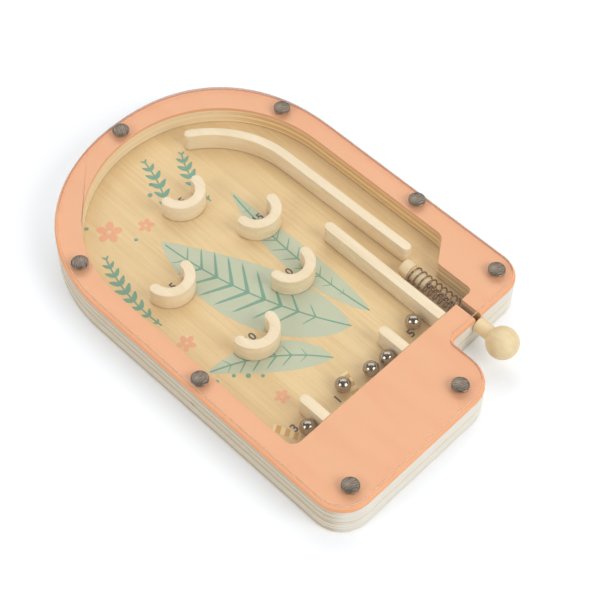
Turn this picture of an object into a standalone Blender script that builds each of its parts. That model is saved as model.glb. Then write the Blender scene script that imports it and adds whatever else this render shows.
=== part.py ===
"""Tabletop pinball game of plywood with a round top end and a spring plunger.

The board lies flat. Its origin is the middle of the footprint on the table, +X is to the
player's right, +Y leads away from the player towards the arch, and +Z is up.
All lengths are metres.
"""
import math

import bmesh
import bpy
from mathutils import Vector

# Fits
FIT_GAP = 0.0003            # left between two pieces that touch
OVERRUN = 0.002             # how far a cutting body runs past the face it opens

# Board
BOARD_WIDTH = 0.200
BOARD_LENGTH = 0.301
ARCH_RISE = 0.100           # from the start of the arch to its top
ARCH_POWER = 2.18           # 2 is an ellipse, more is fuller in the shoulders
ARCH_LEAN = 0.0040          # how far the arch's top leans to the right
CORNER_RADIUS = 0.020
STEP_WIDTH = 0.0695         # the step at the lower right, where the knob has its room
STEP_DEPTH = 0.0376
STEP_INNER_RADIUS = 0.004
STEP_OUTER_RADIUS = 0.0165
BASE_THICKNESS = 0.0125
FRAME_THICKNESS = 0.0132
TOP_EDGE_ROUND = 0.0015
BOTTOM_EDGE_EASE = 0.0006

# Opening in the frame
SIDE_BAND = 0.0148
FRONT_BAND = 0.053
OPENING_POWER = 2.03
OPENING_CORNER_RADIUS = 0.006

# Plunger chamber and the slanted guide at its side
PLUNGER_FROM_RIGHT = 0.0449
PLUNGER_ABOVE_BASE = 0.0066
CHAMBER_SIDE_ROOM = 0.0122
CHAMBER_CORNER_RADIUS = 0.0035
GUIDE_LOW = 0.0277          # above the front band, where the chamber ends
GUIDE_HIGH = 0.0400         # above the front band, where the return channel starts
GUIDE_LOW_RADIUS = 0.003
GUIDE_HIGH_RADIUS = 0.007

# Walls that stand on the playfield
RETURN_CHANNEL = 0.0186
RAIL_WIDTH = 0.0062
RAIL_START = 0.047          # above the front band
RAIL_BEND_RADIUS = 0.0673
RAIL_BEND_START = 0.004     # above the start of the arch
RAIL_BEND_DEGREES = 57.7
RAIL_LEAN = 0.0010          # how far the straight run leans to the left over its length
LANE_WALL_WIDTH = 0.0067
LANE_WALL_OFFSET = 0.0145   # from the plunger's axis, at the front band
LANE_WALL_LENGTH = 0.0967
LANE_WALL_LEAN = 0.0008     # how far its far end leans to the right
DIVIDER_WIDTH = 0.0066
DIVIDER_LENGTH = 0.0207
DIVIDER_FIELD_SHARES = {"divider_left": 0.2254, "divider_right": 0.7668}  # across the field

# Catch cups
CUP_OUTER_RADIUS = 0.0158
CUP_INNER_RADIUS = 0.0091
CUP_OPEN_DEGREES = 190.0
CUP_PLACE_SHARES = {
    "cup_top": (0.481, 0.772),
    "cup_left": (0.232, 0.627),
    "cup_right": (0.597, 0.626),
    "cup_middle": (0.5245, 0.481),
    "cup_low": (0.282, 0.420),
}

# Balls in the three front pockets, from the left: gap before each as a share of the pocket's
# free room, and gap to the front band as a share of the diameter
BALL_DIAMETER = 0.010
BALL_POCKET_SHARES = (
    {"ball_1": (0.965, 0.17)},
    {"ball_2": (0.590, 0.70), "ball_3": (0.319, 0.30), "ball_4": (0.079, 0.16)},
    {"ball_5": (0.826, 0.79)},
)

# Clear cover and its pins
COVER_THICKNESS = 0.003
COVER_INSET = 0.0022
PIN_HEAD_DIAMETER = 0.0108
PIN_HEAD_HEIGHT = 0.0016
PIN_RIM_HEIGHT = 0.0006
PIN_SHANK_DIAMETER = 0.004
PIN_DEPTH = 0.009           # how deep a shank goes into the frame
PIN_ARCH_INSET = 0.0092
PIN_ARCH_DEGREES = (20.3, 90.0, 161.0)
PIN_SIDE_INSET = 0.0076
PIN_SIDE_HEIGHT_SHARE = 0.401
PIN_CORNER_SIDE = 0.0187
PIN_CORNER_STEP_SIDE = 0.0206
PIN_CORNER_FRONT = 0.0127
PIN_STEP_SIDE = 0.0133
PIN_STEP_FRONT = 0.0134

# Plunger
PLUNGER_PULL = 0.0235       # until the head's spigot meets the front band
ROD_DIAMETER = 0.0032
SLOT_WIDTH = 0.0048
ROD_BORE_DEPTH = 0.012
HEAD_DIAMETER = 0.0114
HEAD_LENGTH = 0.0067
HEAD_ROUND = 0.001
SHOULDER_FROM_BAND = 0.0373
NECK_START_DIAMETER = 0.0100
NECK_END_DIAMETER = 0.0095
KNOB_DIAMETER = 0.0204
KNOB_FROM_STEP = 0.0196     # from the step's face to the middle of the ball

# Spring
SPRING_DIAMETER = 0.0114
SPRING_WIRE = 0.001
SPRING_OPEN_TURNS = 8.0
SPRING_FRONT_CLOSED_TURNS = 1.5
SPRING_HEAD_CLOSED_TURNS = 0.5
SPRING_CLOSED_STEP = 0.0015  # wire middle to wire middle in the closed turns
SPRING_POINTS_PER_TURN = 10

# Fineness of the round shapes
ARCH_STEPS = 48
CORNER_STEPS = 6
CUP_STEPS = 20
CAP_STEPS = 8
BEND_STEPS = 20
HOLE_SIDES = 20
PIN_SIDES = 28
DOME_STEPS = 5
TURNED_SIDES = 36
SPHERE_STEPS = 14
BALL_SIDES = 28
BALL_RINGS = 14

# Levels and places that follow from the sizes above
LEFT = -BOARD_WIDTH / 2
RIGHT = BOARD_WIDTH / 2
FRONT = -BOARD_LENGTH / 2
BACK = BOARD_LENGTH / 2
ARCH_Y = BACK - ARCH_RISE
STEP_X = RIGHT - STEP_WIDTH
STEP_Y = FRONT + STEP_DEPTH
BAND_Y = FRONT + FRONT_BAND
FRAME_BOTTOM = BASE_THICKNESS + FIT_GAP
FRAME_TOP = FRAME_BOTTOM + FRAME_THICKNESS
COVER_BOTTOM = FRAME_TOP + FIT_GAP
COVER_TOP = COVER_BOTTOM + COVER_THICKNESS
PLUNGER_X = RIGHT - PLUNGER_FROM_RIGHT
PLUNGER_Z = BASE_THICKNESS + PLUNGER_ABOVE_BASE
OPENING_RIGHT = RIGHT - SIDE_BAND
SHOULDER_Y = BAND_Y + SHOULDER_FROM_BAND
LANE_X = PLUNGER_X - LANE_WALL_OFFSET
FIELD_LEFT = LEFT + SIDE_BAND
FIELD_RIGHT = LANE_X - LANE_WALL_WIDTH / 2


def material(name, colour, roughness, metallic=0.0, alpha=1.0):
    """Return a Principled material of one colour, made once."""
    found = bpy.data.materials.get(name)
    if found:
        return found
    made = bpy.data.materials.new(name)
    made.use_nodes = True
    shader = made.node_tree.nodes["Principled BSDF"]
    shader.inputs["Base Color"].default_value = (*colour, 1.0)
    shader.inputs["Roughness"].default_value = roughness
    shader.inputs["Metallic"].default_value = metallic
    shader.inputs["Alpha"].default_value = alpha
    return made


def birch():
    return material("birch_plywood", (0.72, 0.56, 0.36), 0.5)


def painted_frame():
    return material("coral_painted_plywood", (0.86, 0.50, 0.31), 0.4)


def acrylic():
    return material("clear_acrylic", (0.95, 0.96, 0.96), 0.05, alpha=0.2)


def burnished_steel():
    return material("burnished_steel", (0.19, 0.15, 0.12), 0.45)


def steel():
    return material("polished_steel", (0.60, 0.60, 0.60), 0.15, metallic=1.0)


def turned_beech():
    return material("turned_beech", (0.76, 0.60, 0.37), 0.45)


def finish(mesh, name, surface, smooth_degrees=40.0):
    """Make the object of a closed mesh, with faces out and sharp edges kept sharp."""
    mesh.shade_smooth()
    mesh.set_sharp_from_angle(angle=math.radians(smooth_degrees))
    mesh.materials.append(surface)
    made = bpy.data.objects.new(name, mesh)
    bpy.context.scene.collection.objects.link(made)
    return made


def loft(name, levels, surface):
    """Make a closed body from (height, loop) levels, each loop with as many points."""
    work = bmesh.new()
    rows = [[work.verts.new((x, y, height)) for x, y in loop] for height, loop in levels]
    for low, high in zip(rows, rows[1:]):
        for i, corner in enumerate(low):
            following = (i + 1) % len(low)
            work.faces.new((corner, low[following], high[following], high[i]))
    work.faces.new(reversed(rows[0]))
    work.faces.new(rows[-1])
    bmesh.ops.recalc_face_normals(work, faces=work.faces)
    mesh = bpy.data.meshes.new(name)
    work.to_mesh(mesh)
    work.free()
    return finish(mesh, name, surface)


def turned(name, profile, surface, sides):
    """Turn a profile of (radius, distance along +Y) points; a zero radius is a pole."""
    work = bmesh.new()
    rows = []
    for radius, along in profile:
        if radius == 0:
            rows.append([work.verts.new((0, along, 0))])
            continue
        turns = [2 * math.pi * i / sides for i in range(sides)]
        rows.append([work.verts.new((radius * math.cos(a), along, radius * math.sin(a))) for a in turns])
    for low, high in zip(rows, rows[1:]):
        for i in range(sides):
            following = (i + 1) % sides
            ends = [low[0]] if len(low) == 1 else [low[i], low[following]]
            others = [high[0]] if len(high) == 1 else [high[following], high[i]]
            work.faces.new(ends + others)
    bmesh.ops.recalc_face_normals(work, faces=work.faces)
    mesh = bpy.data.meshes.new(name)
    work.to_mesh(mesh)
    work.free()
    return finish(mesh, name, surface)


def as_cutter(body):
    """Mark a body as one that only cuts."""
    body.hide_render = True
    body.display_type = "WIRE"
    return body


def cut(target, cutter):
    """Take a cutter's volume out of a body."""
    modifier = target.modifiers.new(f"cut_{cutter.name}", "BOOLEAN")
    modifier.operation = "DIFFERENCE"
    modifier.solver = "EXACT"
    modifier.object = cutter


def arc(centre_x, centre_y, radius, start, end, steps):
    """Return steps + 1 points on an arc between two angles in radians."""
    angles = [start + (end - start) * i / steps for i in range(steps + 1)]
    return [(centre_x + radius * math.cos(a), centre_y + radius * math.sin(a)) for a in angles]


def full_arch(half_width, rise, power, base_y, steps):
    """Return a superellipse's upper half from right to left, with the arch's lean."""
    points = []
    for i in range(steps + 1):
        a = math.pi * i / steps
        x = half_width * math.copysign(abs(math.cos(a)) ** (2 / power), math.cos(a))
        y = rise * max(math.sin(a), 0) ** (2 / power)
        points.append((x + ARCH_LEAN * (y / ARCH_RISE) ** 2, base_y + y))
    return points


def rounded(corners, steps):
    """Return a closed outline through (x, y, radius) corners, each turned into an arc."""
    outline = []
    for i, (x, y, radius) in enumerate(corners):
        if radius == 0:
            outline.append((x, y))
            continue
        corner = Vector((x, y))
        before = (Vector(corners[i - 1][:2]) - corner).normalized()
        after = (Vector(corners[(i + 1) % len(corners)][:2]) - corner).normalized()
        half = before.angle(after) / 2
        centre = corner + (before + after).normalized() * radius / math.sin(half)
        first = corner + before * radius / math.tan(half) - centre
        last = corner + after * radius / math.tan(half) - centre
        start = math.atan2(first.y, first.x)
        swing = math.remainder(math.atan2(last.y, last.x) - start, 2 * math.pi)
        outline += arc(centre.x, centre.y, radius, start, start + swing, steps)
    return outline


def board_outline(inset):
    """Return the board's outline, moved inwards by an inset."""
    outer = CORNER_RADIUS - inset
    corners = [
        (LEFT + inset, FRONT + inset, outer),
        (STEP_X - inset, FRONT + inset, outer),
        (STEP_X - inset, STEP_Y + inset, STEP_INNER_RADIUS + inset),
        (RIGHT - inset, STEP_Y + inset, STEP_OUTER_RADIUS - inset),
    ]
    arch = full_arch(RIGHT - inset, ARCH_RISE - inset, ARCH_POWER, ARCH_Y, ARCH_STEPS)
    corners += [(x, y, 0) for x, y in arch]
    return rounded(corners, CORNER_STEPS)


def opening_outline():
    """Return the outline of the playfield, the plunger chamber and the slanted guide."""
    chamber_right = PLUNGER_X + CHAMBER_SIDE_ROOM
    corners = [
        (LEFT + SIDE_BAND, BAND_Y, OPENING_CORNER_RADIUS),
        (chamber_right, BAND_Y, CHAMBER_CORNER_RADIUS),
        (chamber_right, BAND_Y + GUIDE_LOW, GUIDE_LOW_RADIUS),
        (OPENING_RIGHT, BAND_Y + GUIDE_HIGH, GUIDE_HIGH_RADIUS),
    ]
    arch = full_arch(OPENING_RIGHT, ARCH_RISE - SIDE_BAND, OPENING_POWER, ARCH_Y, ARCH_STEPS)
    corners += [(x, y, 0) for x, y in arch]
    return rounded(corners, CORNER_STEPS)


def bar_outline(path, width, steps=CAP_STEPS):
    """Return the outline of a bar of even width along a path, with round ends."""
    points = [Vector(p) for p in path]
    sides = []
    for i, point in enumerate(points):
        along = points[min(i + 1, len(points) - 1)] - points[max(i - 1, 0)]
        sides.append(Vector((along.y, -along.x)).normalized() * width / 2)
    right = [(p + s)[:] for p, s in zip(points, sides)]
    left = [(p - s)[:] for p, s in zip(points, sides)]
    end_angle = math.atan2(sides[-1].y, sides[-1].x)
    start_angle = math.atan2(-sides[0].y, -sides[0].x)
    end_cap = arc(*points[-1], width / 2, end_angle, end_angle + math.pi, steps)
    start_cap = arc(*points[0], width / 2, start_angle, start_angle + math.pi, steps)
    return right[:-1] + end_cap + left[-2:0:-1] + start_cap[:-1]


def wall(name, outline):
    """Stand a plywood wall on the playfield, as high as the frame."""
    return loft(name, [(FRAME_BOTTOM, outline), (FRAME_TOP, outline)], birch())


def flat_ended_bar(start, end, width):
    """Return the outline of a straight bar, square at its start and round at its end."""
    first, last = Vector(start), Vector(end)
    along = (last - first).normalized()
    side = Vector((along.y, -along.x)) * width / 2
    angle = math.atan2(side.y, side.x)
    cap = arc(*(last - along * width / 2), width / 2, angle, angle + math.pi, CAP_STEPS)
    return [(first - side)[:], (first + side)[:]] + cap


def pin_places():
    """Return the places of the cover's pins, in order round the board."""
    side_y = FRONT + BOARD_LENGTH * PIN_SIDE_HEIGHT_SHARE
    places = [
        (LEFT + PIN_CORNER_SIDE, FRONT + PIN_CORNER_FRONT),
        (STEP_X - PIN_CORNER_STEP_SIDE, FRONT + PIN_CORNER_FRONT),
        (RIGHT - PIN_STEP_SIDE, STEP_Y + PIN_STEP_FRONT),
        (RIGHT - PIN_SIDE_INSET, side_y),
    ]
    for degrees in PIN_ARCH_DEGREES:
        c, s = math.cos(math.radians(degrees)), math.sin(math.radians(degrees))
        shape = abs(c / RIGHT) ** ARCH_POWER + abs(s / ARCH_RISE) ** ARCH_POWER
        reach = shape ** (-1 / ARCH_POWER) - PIN_ARCH_INSET
        places.append((reach * c, ARCH_Y + reach * s))
    places.append((LEFT + PIN_SIDE_INSET, side_y))
    return places


def circle(centre, radius, sides):
    return arc(*centre, radius, 0, 2 * math.pi * (sides - 1) / sides, sides - 1)


def divider_places():
    """Return the middle of each divider, across the field."""
    shares = DIVIDER_FIELD_SHARES.items()
    return {name: FIELD_LEFT + (FIELD_RIGHT - FIELD_LEFT) * share for name, share in shares}


def build_base():
    """Lower board, whose upper face is the playfield."""
    eased = board_outline(BOTTOM_EDGE_EASE)
    full = board_outline(0)
    loft("base_board", [(0, eased), (BOTTOM_EDGE_EASE, full), (BASE_THICKNESS, full)], birch())


def build_frame():
    """Upper ring with its rounded edge, the opening, the rod's slot and the pin holes."""
    levels = [(FRAME_BOTTOM, board_outline(0))]
    for i in range(4):
        a = math.pi / 2 * i / 3
        inset = TOP_EDGE_ROUND * (1 - math.cos(a))
        levels.append((FRAME_TOP - TOP_EDGE_ROUND * (1 - math.sin(a)), board_outline(inset)))
    frame = loft("side_frame", levels, painted_frame())

    opening = opening_outline()
    heights = (FRAME_BOTTOM - OVERRUN, FRAME_TOP + OVERRUN)
    cut(frame, as_cutter(loft("opening_cutter", [(z, opening) for z in heights], birch())))

    half_slot = SLOT_WIDTH / 2
    slot = [(PLUNGER_X - half_slot, STEP_Y - OVERRUN), (PLUNGER_X + half_slot, STEP_Y - OVERRUN),
            (PLUNGER_X + half_slot, BAND_Y + OVERRUN), (PLUNGER_X - half_slot, BAND_Y + OVERRUN)]
    heights = (PLUNGER_Z - half_slot, FRAME_TOP + OVERRUN)
    cut(frame, as_cutter(loft("slot_cutter", [(z, slot) for z in heights], birch())))

    for i, place in enumerate(pin_places()):
        hole = circle(place, PIN_SHANK_DIAMETER / 2 + FIT_GAP, HOLE_SIDES)
        heights = (FRAME_TOP - PIN_DEPTH - FIT_GAP, FRAME_TOP + OVERRUN)
        cut(frame, as_cutter(loft(f"pin_cutter_{i + 1}", [(z, hole) for z in heights], birch())))


def build_cover():
    """Clear sheet with a hole for each pin."""
    outline = board_outline(COVER_INSET)
    cover = loft("clear_cover", [(COVER_BOTTOM, outline), (COVER_TOP, outline)], acrylic())
    for i, place in enumerate(pin_places()):
        hole = circle(place, PIN_SHANK_DIAMETER / 2 + FIT_GAP, HOLE_SIDES)
        heights = (COVER_BOTTOM - OVERRUN, COVER_TOP + OVERRUN)
        cut(cover, as_cutter(loft(f"cover_cutter_{i + 1}", [(z, hole) for z in heights], birch())))


def build_pins():
    """Pins with low domed heads, each a head and a shank in one piece."""
    head_bottom = COVER_TOP + FIT_GAP
    rim = head_bottom + PIN_RIM_HEIGHT
    shank_radius = PIN_SHANK_DIAMETER / 2
    head_radius = PIN_HEAD_DIAMETER / 2
    profile = [(FRAME_TOP - PIN_DEPTH, shank_radius), (head_bottom, shank_radius)]
    profile.append((head_bottom, head_radius))
    for i in range(DOME_STEPS):
        a = math.pi / 2 * i / DOME_STEPS
        height = rim + (PIN_HEAD_HEIGHT - PIN_RIM_HEIGHT) * math.sin(a)
        profile.append((height, head_radius * math.cos(a)))
    for i, place in enumerate(pin_places()):
        levels = [(height, circle(place, radius, PIN_SIDES)) for height, radius in profile]
        loft(f"cover_pin_{i + 1}", levels, burnished_steel())


def build_walls():
    """Launch rail, lane wall, dividers and catch cups."""
    rail_x = OPENING_RIGHT - RETURN_CHANNEL - RAIL_WIDTH / 2
    bend_y = ARCH_Y + RAIL_BEND_START
    start = (rail_x, BAND_Y + RAIL_START + RAIL_WIDTH / 2)
    bend_x = rail_x - RAIL_LEAN - RAIL_BEND_RADIUS
    bend = arc(bend_x, bend_y, RAIL_BEND_RADIUS, 0, math.radians(RAIL_BEND_DEGREES), BEND_STEPS)
    wall("launch_rail", bar_outline([start] + bend, RAIL_WIDTH))

    lane_start = (LANE_X, BAND_Y + FIT_GAP)
    lane_end = (LANE_X + LANE_WALL_LEAN, BAND_Y + LANE_WALL_LENGTH)
    wall("lane_wall", flat_ended_bar(lane_start, lane_end, LANE_WALL_WIDTH))

    for name, x in divider_places().items():
        start, end = (x, BAND_Y + FIT_GAP), (x, BAND_Y + DIVIDER_LENGTH)
        wall(name, flat_ended_bar(start, end, DIVIDER_WIDTH))

    thickness = CUP_OUTER_RADIUS - CUP_INNER_RADIUS
    open_half = math.radians(CUP_OPEN_DEGREES) / 2
    for name, (x_share, y_share) in CUP_PLACE_SHARES.items():
        x, y = LEFT + BOARD_WIDTH * x_share, FRONT + BOARD_LENGTH * y_share
        middle = CUP_INNER_RADIUS + thickness / 2
        path = arc(x, y, middle, math.pi / 2 + open_half, math.pi * 5 / 2 - open_half, CUP_STEPS)
        wall(name, bar_outline(path, thickness))


def build_balls():
    """Steel balls, lying loose in the pockets."""
    radius = BALL_DIAMETER / 2
    profile = [(0, -radius)]
    for i in range(1, BALL_RINGS):
        a = math.pi * i / BALL_RINGS
        profile.append((radius * math.sin(a), -radius * math.cos(a)))
    profile.append((0, radius))

    faces = [FIELD_LEFT]
    for x in divider_places().values():
        faces += [x - DIVIDER_WIDTH / 2, x + DIVIDER_WIDTH / 2]
    faces.append(FIELD_RIGHT)
    for left, right, balls in zip(faces[::2], faces[1::2], BALL_POCKET_SHARES):
        free_room = right - left - BALL_DIAMETER * len(balls)
        x = left - radius
        for name, (room_share, gap_share) in balls.items():
            x += room_share * free_room + BALL_DIAMETER
            ball = turned(name, profile, steel(), BALL_SIDES)
            y = BAND_Y + radius + BALL_DIAMETER * gap_share
            ball.location = (x, y, BASE_THICKNESS + FIT_GAP + radius)


def build_plunger():
    """Knob, rod and head, which slide together along the plunger's axis."""
    axis = bpy.data.objects.new("plunger_axis", None)
    axis.location = (PLUNGER_X, STEP_Y, PLUNGER_Z)
    bpy.context.scene.collection.objects.link(axis)
    bore = ROD_DIAMETER / 2 + FIT_GAP
    shoulder = SHOULDER_Y - STEP_Y

    neck_face = -FIT_GAP
    bore_end = neck_face - ROD_BORE_DEPTH
    ball_radius = KNOB_DIAMETER / 2
    neck_radius = NECK_END_DIAMETER / 2
    join = math.asin(neck_radius / ball_radius)
    knob_profile = [(0, bore_end), (bore, bore_end), (bore, neck_face)]
    knob_profile.append((NECK_START_DIAMETER / 2, neck_face))
    for i in range(SPHERE_STEPS):
        a = join + (math.pi - join) * i / SPHERE_STEPS
        knob_profile.append((ball_radius * math.sin(a), ball_radius * math.cos(a) - KNOB_FROM_STEP))
    knob_profile.append((0, -ball_radius - KNOB_FROM_STEP))
    knob = turned("pull_knob", knob_profile, turned_beech(), TURNED_SIDES)

    spigot_start = BAND_Y + FIT_GAP + PLUNGER_PULL - STEP_Y
    head_end = shoulder + HEAD_LENGTH
    head_bore_end = spigot_start + ROD_BORE_DEPTH
    curl = math.pi / SPRING_POINTS_PER_TURN
    spring_inside = (SPRING_DIAMETER - SPRING_WIRE) / 2 * math.cos(curl) - SPRING_WIRE / 2
    spigot_radius = spring_inside - FIT_GAP
    head_radius = HEAD_DIAMETER / 2
    head_profile = [(0, head_bore_end), (bore, head_bore_end), (bore, spigot_start)]
    head_profile += [(spigot_radius, spigot_start), (spigot_radius, shoulder), (head_radius, shoulder)]
    for i in range(CAP_STEPS // 2 + 1):
        a = math.pi / CAP_STEPS * i
        radius = head_radius - HEAD_ROUND * (1 - math.cos(a))
        head_profile.append((radius, head_end - HEAD_ROUND * (1 - math.sin(a))))
    head_profile.append((0, head_end))
    head = turned("plunger_head", head_profile, turned_beech(), TURNED_SIDES)

    rod_start, rod_end = bore_end + FIT_GAP, head_bore_end - FIT_GAP
    rod_radius = ROD_DIAMETER / 2
    rod_profile = [(0, rod_start), (rod_radius, rod_start), (rod_radius, rod_end), (0, rod_end)]
    rod = turned("plunger_rod", rod_profile, steel(), TURNED_SIDES)

    for piece in (knob, head, rod):
        piece.parent = axis


def spring_points():
    """Return the middle line of the spring's wire, from the front band to the head."""
    closed = SPRING_CLOSED_STEP
    start = BAND_Y + FIT_GAP + SPRING_WIRE / 2
    end = SHOULDER_Y - FIT_GAP - SPRING_WIRE / 2
    closed_length = closed * (SPRING_FRONT_CLOSED_TURNS + SPRING_HEAD_CLOSED_TURNS)
    open_step = (end - start - closed_length) / SPRING_OPEN_TURNS
    turns = SPRING_FRONT_CLOSED_TURNS + SPRING_OPEN_TURNS + SPRING_HEAD_CLOSED_TURNS
    radius = (SPRING_DIAMETER - SPRING_WIRE) / 2
    points = []
    for i in range(round(turns * SPRING_POINTS_PER_TURN) + 1):
        turn = i / SPRING_POINTS_PER_TURN
        open_part = min(max(turn - SPRING_FRONT_CLOSED_TURNS, 0), SPRING_OPEN_TURNS)
        along = start + open_part * open_step + (turn - open_part) * closed
        a = 2 * math.pi * turn
        points.append(Vector((PLUNGER_X + radius * math.cos(a), along, PLUNGER_Z + radius * math.sin(a))))
    return points


def build_spring():
    """Open coil spring of one unbroken wire."""
    points = spring_points()
    curve = bpy.data.curves.new("plunger_spring", "CURVE")
    curve.dimensions = "3D"
    curve.bevel_depth = SPRING_WIRE / 2
    curve.bevel_resolution = 1
    curve.use_fill_caps = True
    spline = curve.splines.new("POLY")
    spline.points.add(len(points) - 1)
    for slot, point in zip(spline.points, points):
        slot.co = (*point, 1.0)
    curve.materials.append(steel())
    made = bpy.data.objects.new("plunger_spring", curve)
    bpy.context.scene.collection.objects.link(made)

    apart = SPRING_POINTS_PER_TURN // 2
    least = min((a - b).length for i, a in enumerate(points) for b in points[i + apart:])
    print(f"plunger_spring least gap to itself: {(least - SPRING_WIRE) * 1000:.2f} mm")


def main():
    for old in list(bpy.data.objects):
        bpy.data.objects.remove(old, do_unlink=True)
    build_base()
    build_frame()
    build_cover()
    build_pins()
    build_walls()
    build_balls()
    build_plunger()
    build_spring()


main()
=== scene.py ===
"""Looks of a tabletop pinball game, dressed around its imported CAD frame.

The board lies flat on a pale floor. +X is to the player's right, +Y leads away from the
player towards the arch and +Z is up. All lengths are metres unless a name ends in _mm.
"""

import logging
import math
from dataclasses import dataclass
from enum import Enum

import bmesh
import bpy
from mathutils import Matrix, Vector


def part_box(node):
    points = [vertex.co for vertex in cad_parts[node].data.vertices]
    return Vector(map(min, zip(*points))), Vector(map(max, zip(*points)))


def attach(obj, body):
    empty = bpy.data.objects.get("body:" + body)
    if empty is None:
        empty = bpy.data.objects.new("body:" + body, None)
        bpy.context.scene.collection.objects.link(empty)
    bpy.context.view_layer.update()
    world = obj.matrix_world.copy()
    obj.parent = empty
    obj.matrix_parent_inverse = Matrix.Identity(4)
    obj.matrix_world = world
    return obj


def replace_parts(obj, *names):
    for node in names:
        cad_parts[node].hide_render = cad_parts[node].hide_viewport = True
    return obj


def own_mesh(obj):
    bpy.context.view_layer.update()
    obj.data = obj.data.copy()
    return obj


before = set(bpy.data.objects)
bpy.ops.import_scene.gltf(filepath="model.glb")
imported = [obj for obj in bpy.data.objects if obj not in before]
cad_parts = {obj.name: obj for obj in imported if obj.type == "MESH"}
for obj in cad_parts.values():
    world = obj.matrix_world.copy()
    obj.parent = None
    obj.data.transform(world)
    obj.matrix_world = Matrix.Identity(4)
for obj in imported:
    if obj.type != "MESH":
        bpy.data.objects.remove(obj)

Mesh = bpy.types.Mesh
Piece = bpy.types.Object
Point = tuple[float, float]
Triple = tuple[float, float, float]
Outline = list[Point]
Socket = bpy.types.NodeSocket
Tree = bpy.types.NodeTree
Work = bmesh.types.BMesh
log = logging.getLogger("pinball")

MM = 0.001
WHITE = (1, 1, 1, 1)
SHARP_ANGLE = math.radians(35)          # edges that turn by less look round
LAYER_SHARP_ANGLE = math.radians(32)    # the same for the eased copies of CAD nodes
EASED_ANGLE = math.radians(50)          # edges that turn by more are eased
FLAT_ANGLE = math.radians(0.5)          # faces that turn by less become one
MERGE_DISTANCE = 0.01 * MM
CAP_STEPS = 12                          # chords of a bar's round end
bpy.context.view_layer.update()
MIX_A, MIX_B, MIX_RESULT = 6, 7, 2      # a colour mix node's sockets by number
RANDOM_MAX, RANDOM_VALUE = 3, 1         # a random value node's float sockets by number


# ---------------------------------------------------------------- colours and nodes


class Hue(Enum):
    """Colours as they look in plain light, written as sRGB hex."""

    BIRCH_PALE = "ECCF98"
    BIRCH_WARM = "E2C187"
    BIRCH_FLECK = "CDA868"
    WALL_PALE = "F9E8C8"
    WALL_WARM = "F2DDB6"
    WALL_SIDE = "F9E9CA"
    WALL_SIDE_WARM = "F0DAAE"
    # painted shade: the dark amber band along the foot of the walls and cups
    WALL_FOOT = "B0842F"
    PLY_CREAM = "EADDC4"
    PLY_TAN = "CFBFA3"
    PLY_GLUE = "7D6B52"
    # painted light: paler ply edge colour where an edge faces the player or the arch
    PLY_FRONT = "F0EBDF"
    # painted light: warmer copies of the ply colours for the ring's inward walls, standing in for
    # warm light bounced inside the tray
    PLY_CREAM_WARM = "FBDC9E"
    PLY_TAN_WARM = "ECC586"
    PLY_GLUE_WARM = "8A6C3C"
    PLY_FRONT_WARM = "FCEECB"
    KNOT = "3F3226"
    CORAL = "F3B586"
    CORAL_DEEP = "F1AF80"
    # painted light: deeper orange for the paint's rounded edge, which lies outside the sheet's
    # reflected haze
    CORAL_EDGE = "F2AC7C"
    BEECH_PALE = "F0DAAE"
    BEECH_WARM = "EACFA0"
    BEECH_RAY = "D2B07E"
    MINT = "BAC9B0"
    TEAL = "5FA08A"
    CORAL_INK = "EF9F7B"
    SLATE = "3A3234"
    AMBER = "D59A3C"
    AMBER_PALE = "F0DCA4"
    STEEL = "B3A593"
    WIRE = "94744F"
    PIN_DARK = "6A5F53"
    PIN_LIGHT = "A5988A"
    # painted light: a bright and a shaded copy of the sheet's edge colour, chosen by the way each
    # edge face looks
    ACRYLIC_BRIGHT = "E8C6B0"
    ACRYLIC_SHADED = "C48C6C"
    FLOOR = "F2F5F9"


def linear(hue: Hue) -> tuple[float, float, float, float]:
    """Turn a colour's sRGB hex into the linear values that a shader takes.

    Args:
        hue: The colour.

    Returns:
        Red, green, blue and an alpha of one.
    """
    parts = [int(hue.value[i:i + 2], 16) / 255 for i in (0, 2, 4)]
    values = [p / 12.92 if p <= 0.04045 else ((p + 0.055) / 1.055) ** 2.4 for p in parts]
    return (*values, 1.0)


def add(tree: Tree, kind: str, inputs: dict | None = None, output: int | str = 0) -> Socket | None:
    """Add one node to a tree.

    Args:
        tree: The tree that gets the node.
        kind: The node's type name.
        inputs: Values by attribute name in lower case, or by input name or number. A value
            that is another node's output is linked.
        output: The name or number of the output to return.

    Returns:
        The output socket, or None if the node has none.
    """
    node = tree.nodes.new(kind)
    for key, value in (inputs or {}).items():
        if isinstance(key, str) and key.islower():
            setattr(node, key, value)
        elif isinstance(value, Socket):
            tree.links.new(value, node.inputs[key])
        else:
            node.inputs[key].default_value = linear(value) if isinstance(value, Hue) else value
    return node.outputs[output] if node.outputs else None


def step(low: float, high: float) -> dict:
    """Return a Map Range node's values for a smooth step from zero at low to one at high."""
    return {"interpolation_type": "SMOOTHSTEP", "From Min": low, "From Max": high}


def mixed(share: Socket | float, low: Socket | Hue, high: Socket | Hue) -> dict:
    """Return a Mix node's values that turn the first colour into the second by a share."""
    return {"data_type": "RGBA", "Factor": share, MIX_A: low, MIX_B: high}


def stretched_noise(tree: Tree, source: Socket, size_mm: Triple, detail: float) -> Socket:
    """Add noise whose cells have a real size along each axis.

    Args:
        tree: The tree that gets the nodes.
        source: The coordinates, in metres.
        size_mm: The size of a cell along X, Y and Z.
        detail: How many finer layers the noise has.

    Returns:
        The socket with the noise's value.
    """
    scale = tuple(1 / (size * MM) for size in size_mm)
    cells = add(tree, "ShaderNodeMapping", {"Vector": source, "Scale": scale})
    return add(tree, "ShaderNodeTexNoise", {"Vector": cells, "Scale": 1.0, "Detail": detail})


def facing(tree: Tree, axis: str, normal: str = "True Normal") -> Socket:
    """Add how far a surface faces along an axis, from minus one to one."""
    vector = add(tree, "ShaderNodeNewGeometry", output=normal)
    return add(tree, "ShaderNodeSeparateXYZ", {"Vector": vector}, axis)


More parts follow.
